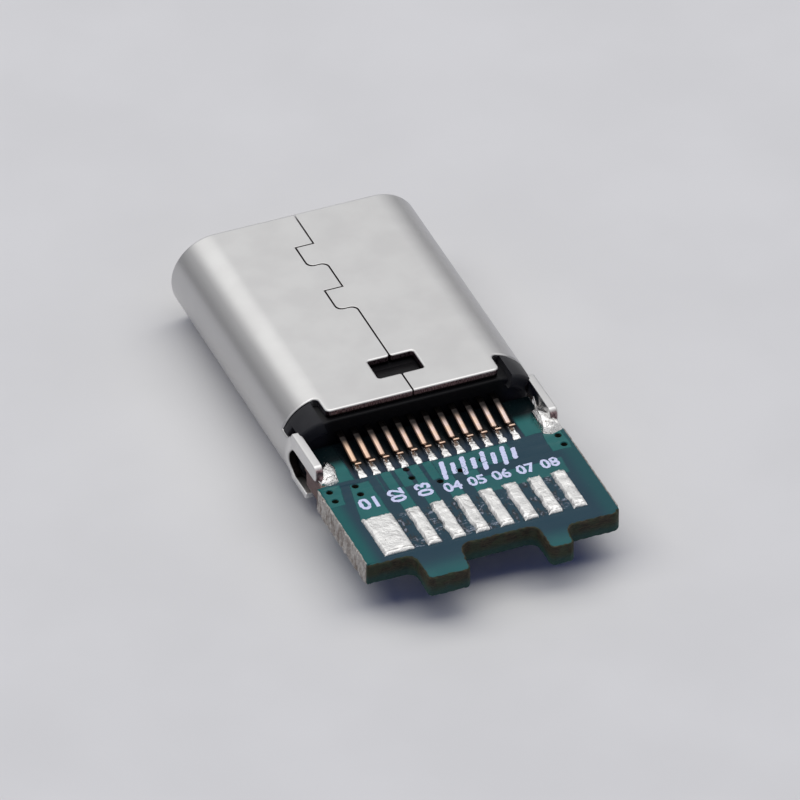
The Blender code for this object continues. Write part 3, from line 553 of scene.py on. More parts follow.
def soft_block(corners, radii, low, high, round_edge, steps=4, plane=(0, 1, 2)):
    """Slab on a flat outline whose top and bottom edges are quarter circles.

    Each ring is the outline moved in by r(1 - cos t) at r(1 - sin t) from its end face. plane
    gives the axes of the outline's two coordinates and of the thickness.
    """
    turn = np.linspace(0, math.pi / 2, steps + 1)
    inset = round_edge * (1 - np.cos(turn))
    level = round_edge * (1 - np.sin(turn))
    stack = [(i, low + h) for i, h in zip(inset[::-1], level[::-1])]
    stack += [(i, high - h) for i, h in zip(inset, level)]
    radii = np.broadcast_to(radii, len(corners)).astype(float)
    flats = [(arcs_through(np.array(corners, float), radii, ARC_STEPS, move), height)
             for move, height in stack]
    rings = np.array([spread(flat[:, 0], flat[:, 1], height) for flat, height in flats])
    return loft(rings[..., np.argsort(plane)])


def plug():
    """Stadium section carried from behind the lip into the shell; its rear edge is a quarter
    circle, and next to the side arms it is cut back to their inner faces.
    """
    half_height = MID_HEIGHT - WALL - FIT
    straight = SHELL_WIDTH / 2 - WALL - FIT - half_height
    angle = np.linspace(-math.pi / 2, math.pi * 3 / 2, 120, endpoint=False) + math.pi / 120
    turn = np.linspace(math.pi / 2, 0, 6)
    insets = np.concatenate([PLUG_ROUND * (1 - np.cos(turn)), [0, 0, 0]])
    places = np.concatenate([PLUG_ROUND * (1 - np.sin(turn)) - PLUG_OVERHANG,
                             [ARM_BEND_START + FIT, ARM_BEND_START + FIT, PLUG_DEPTH]])
    limit = np.where(np.arange(len(places)) < len(places) - 2,
                     ARM_FACE - WALL - FIT - insets, SHELL_WIDTH)
    x = (np.sign(np.cos(angle)) * straight)[None] + (half_height - insets)[:, None] * np.cos(angle)
    z = MID_HEIGHT + (half_height - insets)[:, None] * np.sin(angle)
    x = np.clip(x, -limit[:, None], limit[:, None])
    return loft(spread(x, places[:, None], z))


def skin_lug(side, upper, s_range, y_range, depths, slant, rounding):
    """Block under the shell's outer skin, carried along the skin from one blank coordinate to
    another: a rectangle (y, depth) with round corners that draws in at both ends. Its rear face
    slants forward as it goes outwards.
    """
    ease = np.linspace(0, math.pi / 2, 4)
    s = np.concatenate([s_range[0] + rounding * (1 - np.cos(ease)),
                        np.linspace(*s_range, 22)[2:-2],
                        s_range[1] - rounding * (1 - np.cos(ease[::-1]))])
    draw = rounding * (1 - np.sin(ease))
    draw = np.concatenate([draw, np.zeros(len(s) - 2 * len(ease)), draw[::-1]])
    y_mid = sum(y_range) / 2
    corners = np.array([(y_range[0], depths[1]), (y_range[0], depths[0]),
                        (y_range[1], depths[0]), (y_range[1], depths[1])])
    rings = []
    for here, inset in zip(s, draw):
        flat = arcs_through(corners, np.full(4, rounding), 4, inset)
        x, z = section(np.full(len(flat), here), flat[:, 1])
        rear = np.clip((y_mid - flat[:, 0]) / (y_mid - y_range[0]), 0, 1)
        outward = np.abs(x) - abs(section(np.array(s_range[0]), 0)[0])
        rings.append(np.column_stack([side * np.abs(x), flat[:, 0] + slant * rear * outward, z]))
    rings = np.array(rings)
    if not upper:
        rings[:, :, 2] = SHELL_HEIGHT - rings[:, :, 2]
    return loft(rings)


def wedge():
    """Snap wedge in the window: a three-sided profile (y, z) carried across the window."""
    half = WINDOW_WIDTH / 2 - WINDOW_ROUND
    rear = WINDOW_FROM_LIP + LUG_CLEARANCE
    base = ROOF - FIT
    profile = [(rear, base - WEDGE_RISE), (rear + WEDGE_RAMP, base - WEDGE_RISE),
               (rear + WEDGE_RAMP, base), (rear, base + WEDGE_RISE)]
    return soft_block(profile, WEDGE_ROUND, -half, half, WEDGE_ROUND, 3, plane=(1, 2, 0))


def tongue():
    """Slab with round front corners and a notch on each side, where a plug's latches grip."""
    half, rear = TONGUE_WIDTH / 2, PLUG_DEPTH - TONGUE_OVERLAP
    notch_front = TONGUE_TIP - LATCH_NOTCH_FROM_TIP
    notch_rear = notch_front - LATCH_NOTCH_LENGTH
    notch = half - LATCH_NOTCH_DEPTH
    side = [(half, rear, 0), (half, notch_rear, LATCH_ROUND), (notch, notch_rear, LATCH_ROUND),
            (notch, notch_front, LATCH_ROUND), (half, notch_front, LATCH_ROUND),
            (half, TONGUE_TIP, TONGUE_ROUND)]
    corners = np.array(side + [(-x, y, radius) for x, y, radius in side[::-1]])
    return soft_block(corners[:, :2], corners[:, 2], MID_HEIGHT - TONGUE_THICKNESS / 2,
                      MID_HEIGHT + TONGUE_THICKNESS / 2, TONGUE_SOFT)


def root():
    """Thicker block that joins the tongue to the plug."""
    half, front, rear = TONGUE_WIDTH / 2, PLUG_DEPTH + ROOT_LENGTH, PLUG_DEPTH - TONGUE_OVERLAP
    return soft_block([(half, rear), (half, front), (-half, front), (-half, rear)], ROOT_ROUND,
                      MID_HEIGHT - ROOT_THICKNESS / 2, MID_HEIGHT + ROOT_THICKNESS / 2, ROOT_ROUND)


lip_high = SEAM_LINE - (HALF_FLAT - LIP_INSET + END_RADIUS)
arm_top = SIDE_LINE + math.asin((ARM_RISE + LUG_CLEARANCE) / END_RADIUS) * END_RADIUS
crest = lip_high - LUG_GROOVE
notch_face = NOTCH_DEPTH - LUG_CLEARANCE
forms = [plug(), wedge(), tongue(), root()]
for side in (-1, 1):
    for upper in (True, False):
        forms.append(skin_lug(side, upper, (crest, arm_top), (-LUG_OVERHANG, notch_face),
                              (0, LUG_THICKNESS), LUG_SLANT, LUG_ROUND))
        forms.append(skin_lug(
            side, upper, ((crest + arm_top) / 2, SIDE_LINE + RELIEF_HEIGHT + LUG_CLEARANCE),
            (RELIEF_FROM_LIP + LUG_CLEARANCE, notch_face - FIT), (FIT, LUG_THICKNESS - FIT), 0,
            FILLER_ROUND))

plastic = Finish("black_moulding")
haze = plastic.grain(0.6, 3)
pores = plastic.grain(0.05, 2)
x, y, z = plastic.axes(plastic.place())
# Painted light and shade: the lugs at the corners get a lighter, scuffed black as painted light, and the
# plug's middle and the tongue a deeper black as painted shade.
lit_lugs = abs(x).rise(2.9, 3.5)
plastic.coat(
    Base_Color=plastic.shade(lit_lugs, SHADED_BLACK, plastic.shade(haze, *SCUFFED_LIT_BLACK)),
    Specular_IOR_Level=0.14,
    Roughness=0.36 + 0.16 * haze,
    Normal=plastic.relief(pores * 0.0022 + haze * 0.006))
settle("insulator", forms, plastic.owner, ["housing"], crease=40)

# Contacts
# Twelve strips of copper alloy above the tongue and twelve below, flashed with gold. Behind the
# lip each slopes to the board and ends in a short tip that lifts off it, cut off bare.

CONTACT_COUNT, CONTACT_PITCH = 12, 0.50
CONTACT_WIDTH, CONTACT_THICKNESS, CONTACT_ROUND = 0.24, 0.10, 0.042
CONTACT_FROM_TIP, LONG_CONTACT_EXTRA, LONG_CONTACTS = 1.00, 0.50, (0, 3, 8, 11)
TAIL_BELOW_ROOF, TAIL_STRAIGHT, TAIL_BEND = 0.50, 0.50, 0.10
TAIL_TOUCHDOWN, TAIL_END, TAIL_TIP_LIFT = 1.60, 1.95, 0.17
CONTACT_PROUD, CONTACT_RISE_FROM_ROOT, PAD_FILM = 0.012, 0.50, 0.01
BOARD_THICKNESS, COPPER = 0.80, 0.04
BOARD_TOP = MID_HEIGHT + BOARD_THICKNESS / 2
ROSY, PALE, GOLDEN = (0.79, 0.585, 0.51, 1), (0.81, 0.68, 0.65, 1), (0.82, 0.55, 0.34, 1)
TAIL_FLANK_SHADE, TAIL_SHADE = (0.07, 0.040, 0.028, 1), (0.022, 0.019, 0.018, 1)
CUT_COPPER = (0.10, 0.045, 0.03, 1)


def bent(corners, radius, steps=5):
    """Open line through (y, z) corners, bent to a radius at each inner corner."""
    points = np.array(corners, float)
    steps_in, steps_out = unit(points[1:-1] - points[:-2]), unit(points[2:] - points[1:-1])
    run = radius * np.tan(np.arccos(np.clip((steps_in * steps_out).sum(axis=1), -1, 1)) / 2)
    share = np.linspace(0, 1, steps + 1)[None, :, None]
    first = (points[1:-1] - steps_in * run[:, None])[:, None]
    last = (points[1:-1] + steps_out * run[:, None])[:, None]
    knee = points[1:-1][:, None]
    curve = first * (1 - share) ** 2 + 2 * knee * share * (1 - share) + last * share ** 2
    return np.concatenate([points[:1], curve.reshape(-1, 2), points[-1:]])


def rounded_rectangle(half_x, half_y, radius, steps, inset=0.0):
    """Outline about 0, anticlockwise from the lower left, moved inwards by inset."""
    corners = np.array([(-half_x, -half_y), (half_x, -half_y), (half_x, half_y), (-half_x, half_y)])
    return arcs_through(corners, np.full(4, radius), steps, inset)


def strip(line, x, width, thickness, rounding):
    """Rounded strip carried along a line (y, z): the section's height is set square to the line.
    At both ends the rings draw in by r(1 - cos t) while they run back by r(1 - sin t).
    """
    turn = np.linspace(math.pi / 2, 0, 4)
    heading = unit(np.gradient(line, axis=0))
    soft = rounding * 0.9
    back = soft * (1 - np.sin(turn))[:, None]
    middle = np.concatenate([line[0] + heading[0] * back, line[1:-1],
                             line[-1] - heading[-1] * back[::-1]])
    normal = leftward(np.concatenate([heading[:1].repeat(4, 0), heading[1:-1],
                                      heading[-1:].repeat(4, 0)]))
    draw = soft * (1 - np.cos(turn))
    draw = np.concatenate([draw, np.zeros(len(line) - 2), draw[::-1]])
    flat = np.array([rounded_rectangle(width / 2, thickness / 2, rounding, 3, inset)
                     for inset in draw])
    y = middle[:, :1] + flat[:, :, 1] * normal[:, :1]
    z = middle[:, 1:] + flat[:, :, 1] * normal[:, 1:]
    return loft(spread(x + flat[:, :, 0], y, z))


def flipped(part):
    """Twin of a part for the lower row, turned over about the shell's mid height."""
    return part[0] * (1, 1, -1) + (0, 0, SHELL_HEIGHT), part[1]


gilt = Finish("gilt_copper")
x, y, z = gilt.axes(gilt.place())
tarnish = gilt.grain(0.22, 3)
tip_height = BOARD_THICKNESS / 2 + COPPER + TAIL_TIP_LIFT
at_tip = abs(z - MID_HEIGHT).rise(tip_height + 0.09, tip_height + 0.05)
cut_end = y.rise(-TAIL_END + 0.05, -TAIL_END + 0.02) * at_tip
under_lip = y.rise(-1.15, -0.62) * y.rise(1.2, 0.8)
# Painted shade: each strip is darkened along its two long edges, and the tails are darkened under the lip.
shaded_flanks = abs(x % CONTACT_PITCH - CONTACT_PITCH / 2).rise(0.050, 0.078) * y.within(-1.84, 1.0, 0.03)
warm = (tarnish.rise(0.42, 0.62) * 0.5) | x.rise(-1.2, -2.7) * 0.6 | y.rise(-1.35, -1.75) * 0.5
flash = gilt.shade(x.rise(-0.5, 2.7) * 0.6, ROSY, PALE)
for share, colour in (
        (warm, GOLDEN), (shaded_flanks * 0.92, TAIL_FLANK_SHADE), (under_lip, TAIL_SHADE), (cut_end, CUT_COPPER)):
    flash = gilt.shade(share, flash, colour)
gilt.coat(
    Base_Color=flash,
    Metallic=1.0,
    Roughness=0.22 + 0.14 * tarnish,
    Normal=gilt.relief(tarnish * 0.006 + gilt.grain(0.03, 2) * 0.001))

on_tongue = MID_HEIGHT + TONGUE_THICKNESS / 2 - CONTACT_THICKNESS / 2 + CONTACT_PROUD
at_exit = ROOF - TAIL_BELOW_ROOF - CONTACT_THICKNESS / 2
at_pad = BOARD_TOP + COPPER + PAD_FILM + CONTACT_THICKNESS / 2
rise_start = PLUG_DEPTH - CONTACT_RISE_FROM_ROOT
for index in range(CONTACT_COUNT):
    across = (index - (CONTACT_COUNT - 1) / 2) * CONTACT_PITCH
    tip = TONGUE_TIP - CONTACT_FROM_TIP + (LONG_CONTACT_EXTRA if index in LONG_CONTACTS else 0)
    line = bent([(tip, on_tongue), (rise_start, on_tongue),
                 (rise_start - (at_exit - on_tongue), at_exit), (-TAIL_STRAIGHT, at_exit),
                 (-TAIL_TOUCHDOWN, at_pad), (-TAIL_END, at_pad + TAIL_TIP_LIFT)], TAIL_BEND)
    upper = strip(line, across, CONTACT_WIDTH, CONTACT_THICKNESS, CONTACT_ROUND)
    for row, letter, part in (("upper", "a", upper), ("lower", "b", flipped(upper))):
        settle(f"{row}_contact_{index + 1:02d}", [part], gilt.owner,
               [f"contact_{letter}{index + 1:02d}"])

# Steel plates
# A stamped stainless plate lies inside the tongue, and two bent plates lie on its root. They
# keep their solid forms, and get a bright stamped finish.

STAMPED_STEEL = ((0.50, 0.50, 0.51, 1), (0.62, 0.62, 0.63, 1))
steel = Finish("stamped_steel")
lines = steel.grain(0.06, 3, stretch=(6, 0.4, 6))
steel.coat(
    Base_Color=steel.shade(lines, *STAMPED_STEEL),
    Metallic=1.0,
    Roughness=0.28 + 0.14 * lines,
    Normal=steel.relief(lines * 0.002))
for name in ("mid_plate", "ground_plate_top", "ground_plate_bottom"):
    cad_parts[name].data.materials.clear()
    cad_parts[name].data.materials.append(steel.owner)

# Board
# Glass epoxy sheet 0.8 mm thick under a glossy blue-green mask, milled to its outline, with a
# narrow front between the arms and an ear in each fork, two tabs behind, and plated holes.

BOARD_HALF, BOARD_NARROW = SHELL_WIDTH / 2 - 0.06, ARM_FACE - WALL - 0.04
BOARD_FRONT, BOARD_SHOULDER = 0.30, 2.35
EAR_HALF, EAR_FRONT, EAR_ROUND, CORNER_ROUND = ARM_FACE - 0.10, 1.00, 0.10, 0.02
REAR_LEFT, REAR_MIDDLE, REAR_RIGHT, TAB_REACH = 6.82, 6.88, 7.28, 8.20
LEFT_ROUND, RIGHT_ROUND, RECESS_ROUND, TAB_ROUND = 0.10, 0.30, 0.30, 0.20
LEFT_TAB, LEFT_TAPER, RIGHT_TAB, RIGHT_TAPER = (-2.80, -1.12), 0.19, (1.51, 2.47), 0.11
EDGE_WEAR, OUTLINE_STEP = 0.11, 0.09
HOLE_RADIUS, HOLE_RIM, HOLE_SIDES = 0.13, 0.055, 20
HOLES = ((-4.08, -2.68), (-4.08, -3.19), (4.08, -2.68), (4.08, -3.19), (-3.17, -2.69),
         (-3.17, -3.15), (-1.27, -2.48), (-1.27, -2.97), (-0.47, -3.49), (0.37, -3.20),
         (1.24, -2.95))
PAD_PITCH, FIRST_PAD = 0.863, -1.92
COPPER_PATCHES = (
    ((-4.36, -3.83), (-4.31, -3.62), (-3.48, -2.42)),
    ((-3.71, -2.65), (-3.33, -2.66), (-4.55, -2.58)),
    ((3.57, 4.28), (3.62, 4.28), (-3.43, -2.41)),
    ((-4.60, -3.05), (-4.60, -3.05), (-2.33, 0.20)),
    ((3.05, 4.60), (3.05, 4.60), (-2.33, 0.20)))
SLATE, SLATE_MARGIN = ((0.012, 0.036, 0.053, 1), (0.018, 0.050, 0.066, 1)), (0.009, 0.086, 0.082, 1)
TEAL = ((0.012, 0.093, 0.088, 1), (0.025, 0.132, 0.121, 1))
SHADE_TO_SLATE_BY_TAILS, PAINTED_LIP_SHADOW = ((0.003, 0.004, 0.005, 1), (0.018, 0.031, 0.046, 1)), (0.002, 0.004, 0.005, 1)
BARE_LAMINATE, FLUX, SCUM = (0.24, 0.17, 0.13, 1), (0.022, 0.021, 0.020, 1), (0.36, 0.39, 0.45, 1)
CORE, TAN_AND_LIT_CORE = (((0.016, 0.014, 0.010, 1), (0.062, 0.052, 0.030, 1)),
                    ((0.09, 0.058, 0.05, 1), (0.23, 0.165, 0.145, 1)))
CORE_MOSS, CORE_GREEN = (0.035, 0.055, 0.028, 1), (0.016, 0.060, 0.050, 1)


def board_corners():
    """Corners (x, y, radius) round the board, anticlockwise from its front right."""
    front = [(BOARD_NARROW, -BOARD_FRONT, CORNER_ROUND), (BOARD_NARROW, -EAR_FRONT, CORNER_ROUND),
             (EAR_HALF, -EAR_FRONT, EAR_ROUND), (EAR_HALF, -BOARD_SHOULDER, CORNER_ROUND),
             (BOARD_HALF, -BOARD_SHOULDER, CORNER_ROUND)]
    rear = [(-BOARD_HALF, -REAR_LEFT, LEFT_ROUND),
            (LEFT_TAB[0], -REAR_LEFT, RECESS_ROUND),
            (LEFT_TAB[0], -TAB_REACH, TAB_ROUND),
            (LEFT_TAB[1] - LEFT_TAPER, -TAB_REACH, TAB_ROUND),
            (LEFT_TAB[1], -REAR_MIDDLE, RECESS_ROUND),
            (RIGHT_TAB[0], -REAR_MIDDLE, RECESS_ROUND),
            (RIGHT_TAB[0], -TAB_REACH, TAB_ROUND),
            (RIGHT_TAB[1] - RIGHT_TAPER, -TAB_REACH, TAB_ROUND),
            (RIGHT_TAB[1], -REAR_RIGHT, RECESS_ROUND),
            (BOARD_HALF, -REAR_RIGHT, RIGHT_ROUND)]
    return np.array(front[:1] + [(-x, y, radius) for x, y, radius in front] + rear + front[:0:-1])


def ripples(points, seed, wavelength, count=14):
    """Seeded unevenness of about -1 to 1: sine waves that run in random directions, with
    lengths spread about one wavelength, added up and divided by the root of their number.
    """
    random = np.random.default_rng(seed)
    heading = random.normal(size=(points.shape[-1], count))
    heading /= np.linalg.norm(heading, axis=0)
    pace = 2 * math.pi / (wavelength * random.uniform(0.55, 1.7, count))
    phase = random.uniform(0, 2 * math.pi, count)
    return np.sin(points @ (heading * pace) + phase).sum(axis=-1) / math.sqrt(count)


def resampled(outline, spacing):
    """A closed outline with points added along its straight runs, at most spacing apart."""
    ahead = np.roll(outline, -1, axis=0)
    counts = np.maximum(np.ceil(np.linalg.norm(ahead - outline, axis=1) / spacing), 1).astype(int)
    origin = np.repeat(np.arange(len(outline)), counts)
    share = (np.arange(len(origin)) - np.repeat(np.cumsum(counts) - counts, counts)) / counts[origin]
    return outline[origin] + (ahead - outline)[origin] * share[:, None]


def milled_rings():
    """Rings round the board's edge from the lower skin to the upper one. The outline is rippled
    a little where it was milled, and the skins draw in as quarter circles over the mask's edge.
    """
    half = BOARD_THICKNESS / 2
    corners = board_corners()
    outline = resampled(arcs_through(corners[:, :2], corners[:, 2], ARC_STEPS), OUTLINE_STEP)
    inward = leftward(unit(np.roll(outline, -1, axis=0) - np.roll(outline, 1, axis=0)))
    milled = (outline[:, 1] < -REAR_LEFT + LEFT_ROUND) & (np.abs(outline[:, 0]) < BOARD_HALF - 0.02)
    worn = 0.25 + 0.75 * milled
    turn = np.linspace(math.pi / 2, 0, 5)
    lower = [(-half + EDGE_WEAR * (1 - math.sin(t)), EDGE_WEAR * (1 - math.cos(t))) for t in turn]
    edge = lower + [(-0.15, 0.0), (0.0, 0.0), (0.15, 0.0)] + [(-h, i) for h, i in lower[::-1]]
    rings = []
    for height, inset in edge:
        spot = spread(outline[:, 0], outline[:, 1], height)
        wear = 0.020 * ripples(spot, 3, 0.35) + 0.012 * ripples(spot, 4, 0.12)
        moved = outline + inward * (inset * worn + milled * np.abs(wear))[:, None]
        rings.append(spread(moved[:, 0], moved[:, 1], MID_HEIGHT + height))
    return np.array(rings)


def hole_rings(hole):
    """Circles up through a plated hole, whose rim stands a little above both skins."""
    angle = np.linspace(0, 2 * math.pi, HOLE_SIDES, endpoint=False)
    rim = [(-1, HOLE_RADIUS + HOLE_RIM, 0.0), (-1, HOLE_RADIUS + 0.03, 0.012),
           (-1, HOLE_RADIUS, 0.008), (-1, HOLE_RADIUS - 0.02, -0.02)]
    rim += [(1, radius, rise) for _, radius, rise in rim[::-1]]
    return np.array([
        spread(hole[0] + np.cos(angle) * radius, hole[1] + np.sin(angle) * radius,
               MID_HEIGHT + side * (BOARD_THICKNESS / 2 + rise)) for side, radius, rise in rim])


def drilled_board():
    """Parts of the board: its edge, a tube for each hole, and each skin, which is the face
    between the edge's last ring and the tubes' rims.
    """
    walls = [milled_rings()] + [hole_rings(hole) for hole in HOLES]
    parts = [loft(rings, capped=False) for rings in walls]
    for end in (-1, 0):
        loops = [rings[end] for rings in walls]
        skin = tessellate_polygon([[Vector(point) for point in loop] for loop in loops])
        parts.append((np.concatenate(loops), skin))
    return parts


mask = Finish("board_mask")
x, y, z = mask.axes(mask.place())
wander = (mask.grain(0.5, 2) - 0.5) * 0.12
xw, yw = x + wander, y + wander


def patch(rear, front, y_range, soft=0.07):
    """1 inside a four-sided patch of the board with soft edges, from its span of x at the rear
    and at the front and its span of y.
    """
    along = (yw - y_range[0]) / (y_range[1] - y_range[0])
    left = along * (front[0] - rear[0]) + rear[0]
    right = along * (front[1] - rear[1]) + rear[1]
    inside = (xw - left).rise(-soft / 2, soft / 2) * (right - xw).rise(-soft / 2, soft / 2)
    return inside * yw.within(*y_range, soft)


by_tail = (x + CONTACT_PITCH / 2) % CONTACT_PITCH
strips = by_tail.within(0.07, 0.43, 0.06) * y.within(-3.35, -2.33, 0.1)
left_runs = strips * x.within(-2.35, -0.35, 0.1)
by_pad = (x - FIRST_PAD + PAD_PITCH / 2) % PAD_PITCH
pad_runs = by_pad.within(0.20, 0.66, 0.06) * y.within(-4.6, -3.30, 0.1) * x.within(-2.35, 0.9, 0.1)
middle_runs = patch((-0.35, 2.35), (-0.35, 2.35), (-3.30, -2.40)) * 0.75
label_run = patch((0.5, 3.7), (0.5, 3.7), (-4.62, -3.80)) * 0.8
tabs = y.rise(-7.1, -8.1) * 0.7
teal = left_runs | pad_runs | middle_runs | label_run | tabs
for spans in COPPER_PATCHES:
    teal = teal | patch(*spans)
margin = x.rise(-3.75, -4.25) | (x.rise(3.6, 4.2) * 0.5)
# Painted shade: the strip by the tails is near black at its front, shading into dark slate at its rear.
by_tails = x.within(-3.02, 3.02, 0.05) * y.rise(-2.37, -2.31)
ears = abs(x).rise(BOARD_NARROW - 0.02, BOARD_NARROW + 0.04) * y.rise(-2.36, -2.32)
smears = mask.grain(0.20, 5, stretch=(1.0, 0.45, 1), rough=0.65)
by_wires = x.within(-2.62, 3.45, 0.1) * y.within(-6.50, -4.62, 0.15)
flux = by_wires * smears.rise(0.50, 0.58)
threads = abs(mask.grain(0.30, 4, stretch=(0.5, 1.5, 1), rough=0.6) - 0.5).rise(0.022, 0.004)
scum = by_wires * ((smears.rise(0.60, 0.65) * 0.5) | threads * mask.grain(0.45, 2).rise(0.52, 0.60) * 0.8)
skin = mask.shade(margin, mask.shade(mask.grain(1.8, 2), *SLATE), SLATE_MARGIN)
# Painted shadow: the mask darkens to near black towards the lip, where the shell's shadow falls.
for share, colour in (
        (teal, mask.shade(mask.grain(0.7, 2), *TEAL)),
        (by_tails, mask.shade(y.rise(-1.6, -2.1), *SHADE_TO_SLATE_BY_TAILS)),
        (y.rise(-1.65, -1.1) * 0.985, PAINTED_LIP_SHADOW),
        (ears, BARE_LAMINATE), (flux * 0.75, FLUX), (scum, SCUM)):
    skin = mask.shade(share, skin, colour)
fibres = mask.grain(0.10, 4, stretch=(0.5, 0.5, 3.0), rough=0.6)
layers = mask.grain(0.35, 3)
core = mask.shade(fibres.rise(0.3, 0.7), *CORE)
# At the front the core is tan laminate, made lighter as painted light against the arms' shadow.
for share, colour in (
        (layers.rise(0.45, 0.6) * 0.5, CORE_MOSS),
        ((z - MID_HEIGHT + layers * 0.3).rise(0.25, -0.1) * 0.8, CORE_GREEN),
        (y.rise(-2.6, -2.3), mask.shade(fibres, *TAN_AND_LIT_CORE))):
    core = mask.shade(share, core, colour)
worn_off = abs(z - MID_HEIGHT) + (mask.grain(0.16, 4, rough=0.7) - 0.5) * 0.06
on_skin = worn_off.rise(BOARD_THICKNESS / 2 - 0.024, BOARD_THICKNESS / 2 - 0.010)
mask.coat(
    Base_Color=mask.shade(on_skin, core, skin),
    Roughness=0.62 - 0.36 * on_skin + 0.22 * on_skin * flux,
    Specular_IOR_Level=0.16,
    Normal=mask.relief(
        on_skin * (teal.rise(0.2, 0.8) * 0.018 + smears * by_wires * 0.03 + mask.grain(0.25, 2) * 0.006)
        + (1 - on_skin) * (fibres * 0.035)))
settle("circuit_board", drilled_board(), mask.owner, ["board"], crease=30)

# Solder at the tails
# Under each tail's tip the solder has run back over its pad: a bright wedge, narrow below the
# tip and as wide as the pad at its rear. The lower row has the same under the board.

FLARE_FRONT, FLARE_REAR = 1.50, 2.38
FLARE_HALF_WIDTHS, FLARE_HEIGHTS, TIN_FOOT = (0.075, 0.135), (0.10, 0.035), 0.02
BRIGHT_TIN, DROSS = ((0.74, 0.735, 0.72, 1), (0.97, 0.965, 0.95, 1)), (0.20, 0.17, 0.15, 1)


def footed(top):
    """Closed skin of a top on a flat foot in its pad. The top is a grid of points, whose rows
    run from one side to the other.
    """
    foot = top[:, [-1, 0]] * (1, 1, 0) + (0, 0, BOARD_TOP - TIN_FOOT)
    return loft(np.concatenate([top, foot], axis=1))


def flare(x, seed):
    """Wedge of solder: over (t, a), t runs back along the pad and a over the section, which is
    half of |u|^4 + |v|^4 = 1. Its width grows and its height falls with t, and creases of two
    rippled sheets break its top into facets.
    """
    t = np.linspace(0, 1, 22)[:, None]
    a = np.linspace(math.pi, 0, 15)[None]
    u, v = np.sign(np.cos(a)) * np.abs(np.cos(a)) ** 0.5, np.abs(np.sin(a)) ** 0.5
    half = FLARE_HALF_WIDTHS[0] + (FLARE_HALF_WIDTHS[1] - FLARE_HALF_WIDTHS[0]) * t ** 1.4
    tall = FLARE_HEIGHTS[0] + (FLARE_HEIGHTS[1] - FLARE_HEIGHTS[0]) * t
    tall = tall * (1 - np.abs(2 * t - 1) ** 12) ** 0.5
    y = -FLARE_FRONT - (FLARE_REAR - FLARE_FRONT) * t
    plan = spread(half * u, y)
    crease = np.abs(ripples(plan, seed, 0.16)) - 0.5 * np.abs(ripples(plan, seed + 1, 0.09))
    z = BOARD_TOP + COPPER / 2 + tall * v * (1 + 0.42 * crease)
    return footed(spread(x + half * u * (1 + 0.16 * ripples(plan, seed + 2, 0.25)), y, z))


tin = Finish("bright_tin")
cloud = tin.grain(0.28, 4, rough=0.6)
pits = tin.grain(0.055, 3)
x, y, z = tin.axes(tin.place())
behind_tips = y.within(-2.12, -1.92, 0.1) * abs(x).rise(3.2, 3.0) * 0.10
by_arms = abs(x).rise(3.2, 3.4) * y.rise(-3.0, -2.7)
dross = (tin.grain(0.16, 4, rough=0.7) + behind_tips + by_arms * 0.05).rise(0.63, 0.70)
tin.coat(
    Base_Color=tin.shade(dross * 0.7, tin.shade(cloud, *BRIGHT_TIN), DROSS),
    Metallic=1.0,
    Roughness=0.17 + 0.24 * cloud + 0.1 * pits - 0.10 * by_arms,
    Normal=tin.relief(cloud * 0.028 + pits * 0.016))
flares = [flare((index - (CONTACT_COUNT - 1) / 2) * CONTACT_PITCH, 20 + 3 * index)
          for index in range(CONTACT_COUNT)]
settle("tail_solder_top", flares, tin.owner, crease=50)
settle("tail_solder_bottom", [flipped(part) for part in flares], tin.owner, crease=50)

# Wire pads
# One wide and seven narrow copper pads on each face, tinned by hand: the tin has a squarish low
# crown, wavy edges, a crumpled skin and a small hollow before the bright rim of its rear end.

PAD_FRONT, PAD_REAR = 4.50, 6.54
NARROW_PAD, NARROW_COUNT, WIDE_PAD = 0.48, 7, (-3.69, -2.64)
TIN_HEIGHT, TIN_LEVEL, LEFT_SLOPE = 0.115, 0.86, 0.09
RIM_HEIGHT, RIM_PLACE, RIM_LENGTH = 0.22, 0.965, 0.018
PIT_DEPTH, PIT_PLACE, PIT_LENGTH, PIT_HALF, PIT_SPAN = 0.75, 0.915, 0.022, 0.075, (-0.5, 0.3)


def wire_pad(x_range, seed):
    """Tin on a pad: over (t, a), t runs from the front to the rear and a over the section, half
    of a superellipse. The plan is rippled at its edges, more along the left one and at the front;
    the height is creased, has a Gaussian rim near the rear end and a Gaussian pit before it.
    """
    random = np.random.default_rng(seed)
    t = (1 - np.cos(np.linspace(0, math.pi, 56)))[:, None] / 2
    a = np.linspace(math.pi, 0, 33)[None]
    u, v = np.sign(np.cos(a)) * np.abs(np.cos(a)) ** 0.6, np.abs(np.sin(a)) ** 0.32
    middle, half = sum(x_range) / 2, (x_range[1] - x_range[0]) / 2
    plan = spread(middle + half * u, -PAD_FRONT - (PAD_REAR - PAD_FRONT) * t)
    left = 1 / (1 + np.exp(6 * u))
    x = plan[..., 0] + (0.006 + 0.011 * left) * ripples(plan[..., 1:], seed, 0.7)
    x = x + 0.005 * np.abs(u) * ripples(plan[..., 1:], seed + 1, 0.13)
    front = (1 - t) ** 14
    y = plan[..., 1] + (0.01 + 0.04 * half) * front * ripples(plan[..., :1], seed + 2, 0.22)
    ends = (1 - np.abs(2 * t - 1) ** 24) ** 0.5
    crumple = 0.07 * (np.abs(ripples(plan, seed + 3, 0.42)) - np.abs(ripples(plan, seed + 4, 0.15))
                      + ripples(plan, seed + 5, 0.7))
    slope = np.clip((1 + u) * half / LEFT_SLOPE, 0, 1) ** 0.6
    rim = RIM_HEIGHT * np.exp(-((t - RIM_PLACE) / RIM_LENGTH) ** 2)
    aside, behind = (u - random.uniform(*PIT_SPAN)) * half / PIT_HALF, (t - PIT_PLACE) / PIT_LENGTH
    pit = PIT_DEPTH * np.exp(-aside ** 2 - behind ** 2)
    z = BOARD_TOP + 0.01 + TIN_HEIGHT * v * ends * slope * (TIN_LEVEL + crumple + rim - pit)
    return footed(spread(x, y, z))


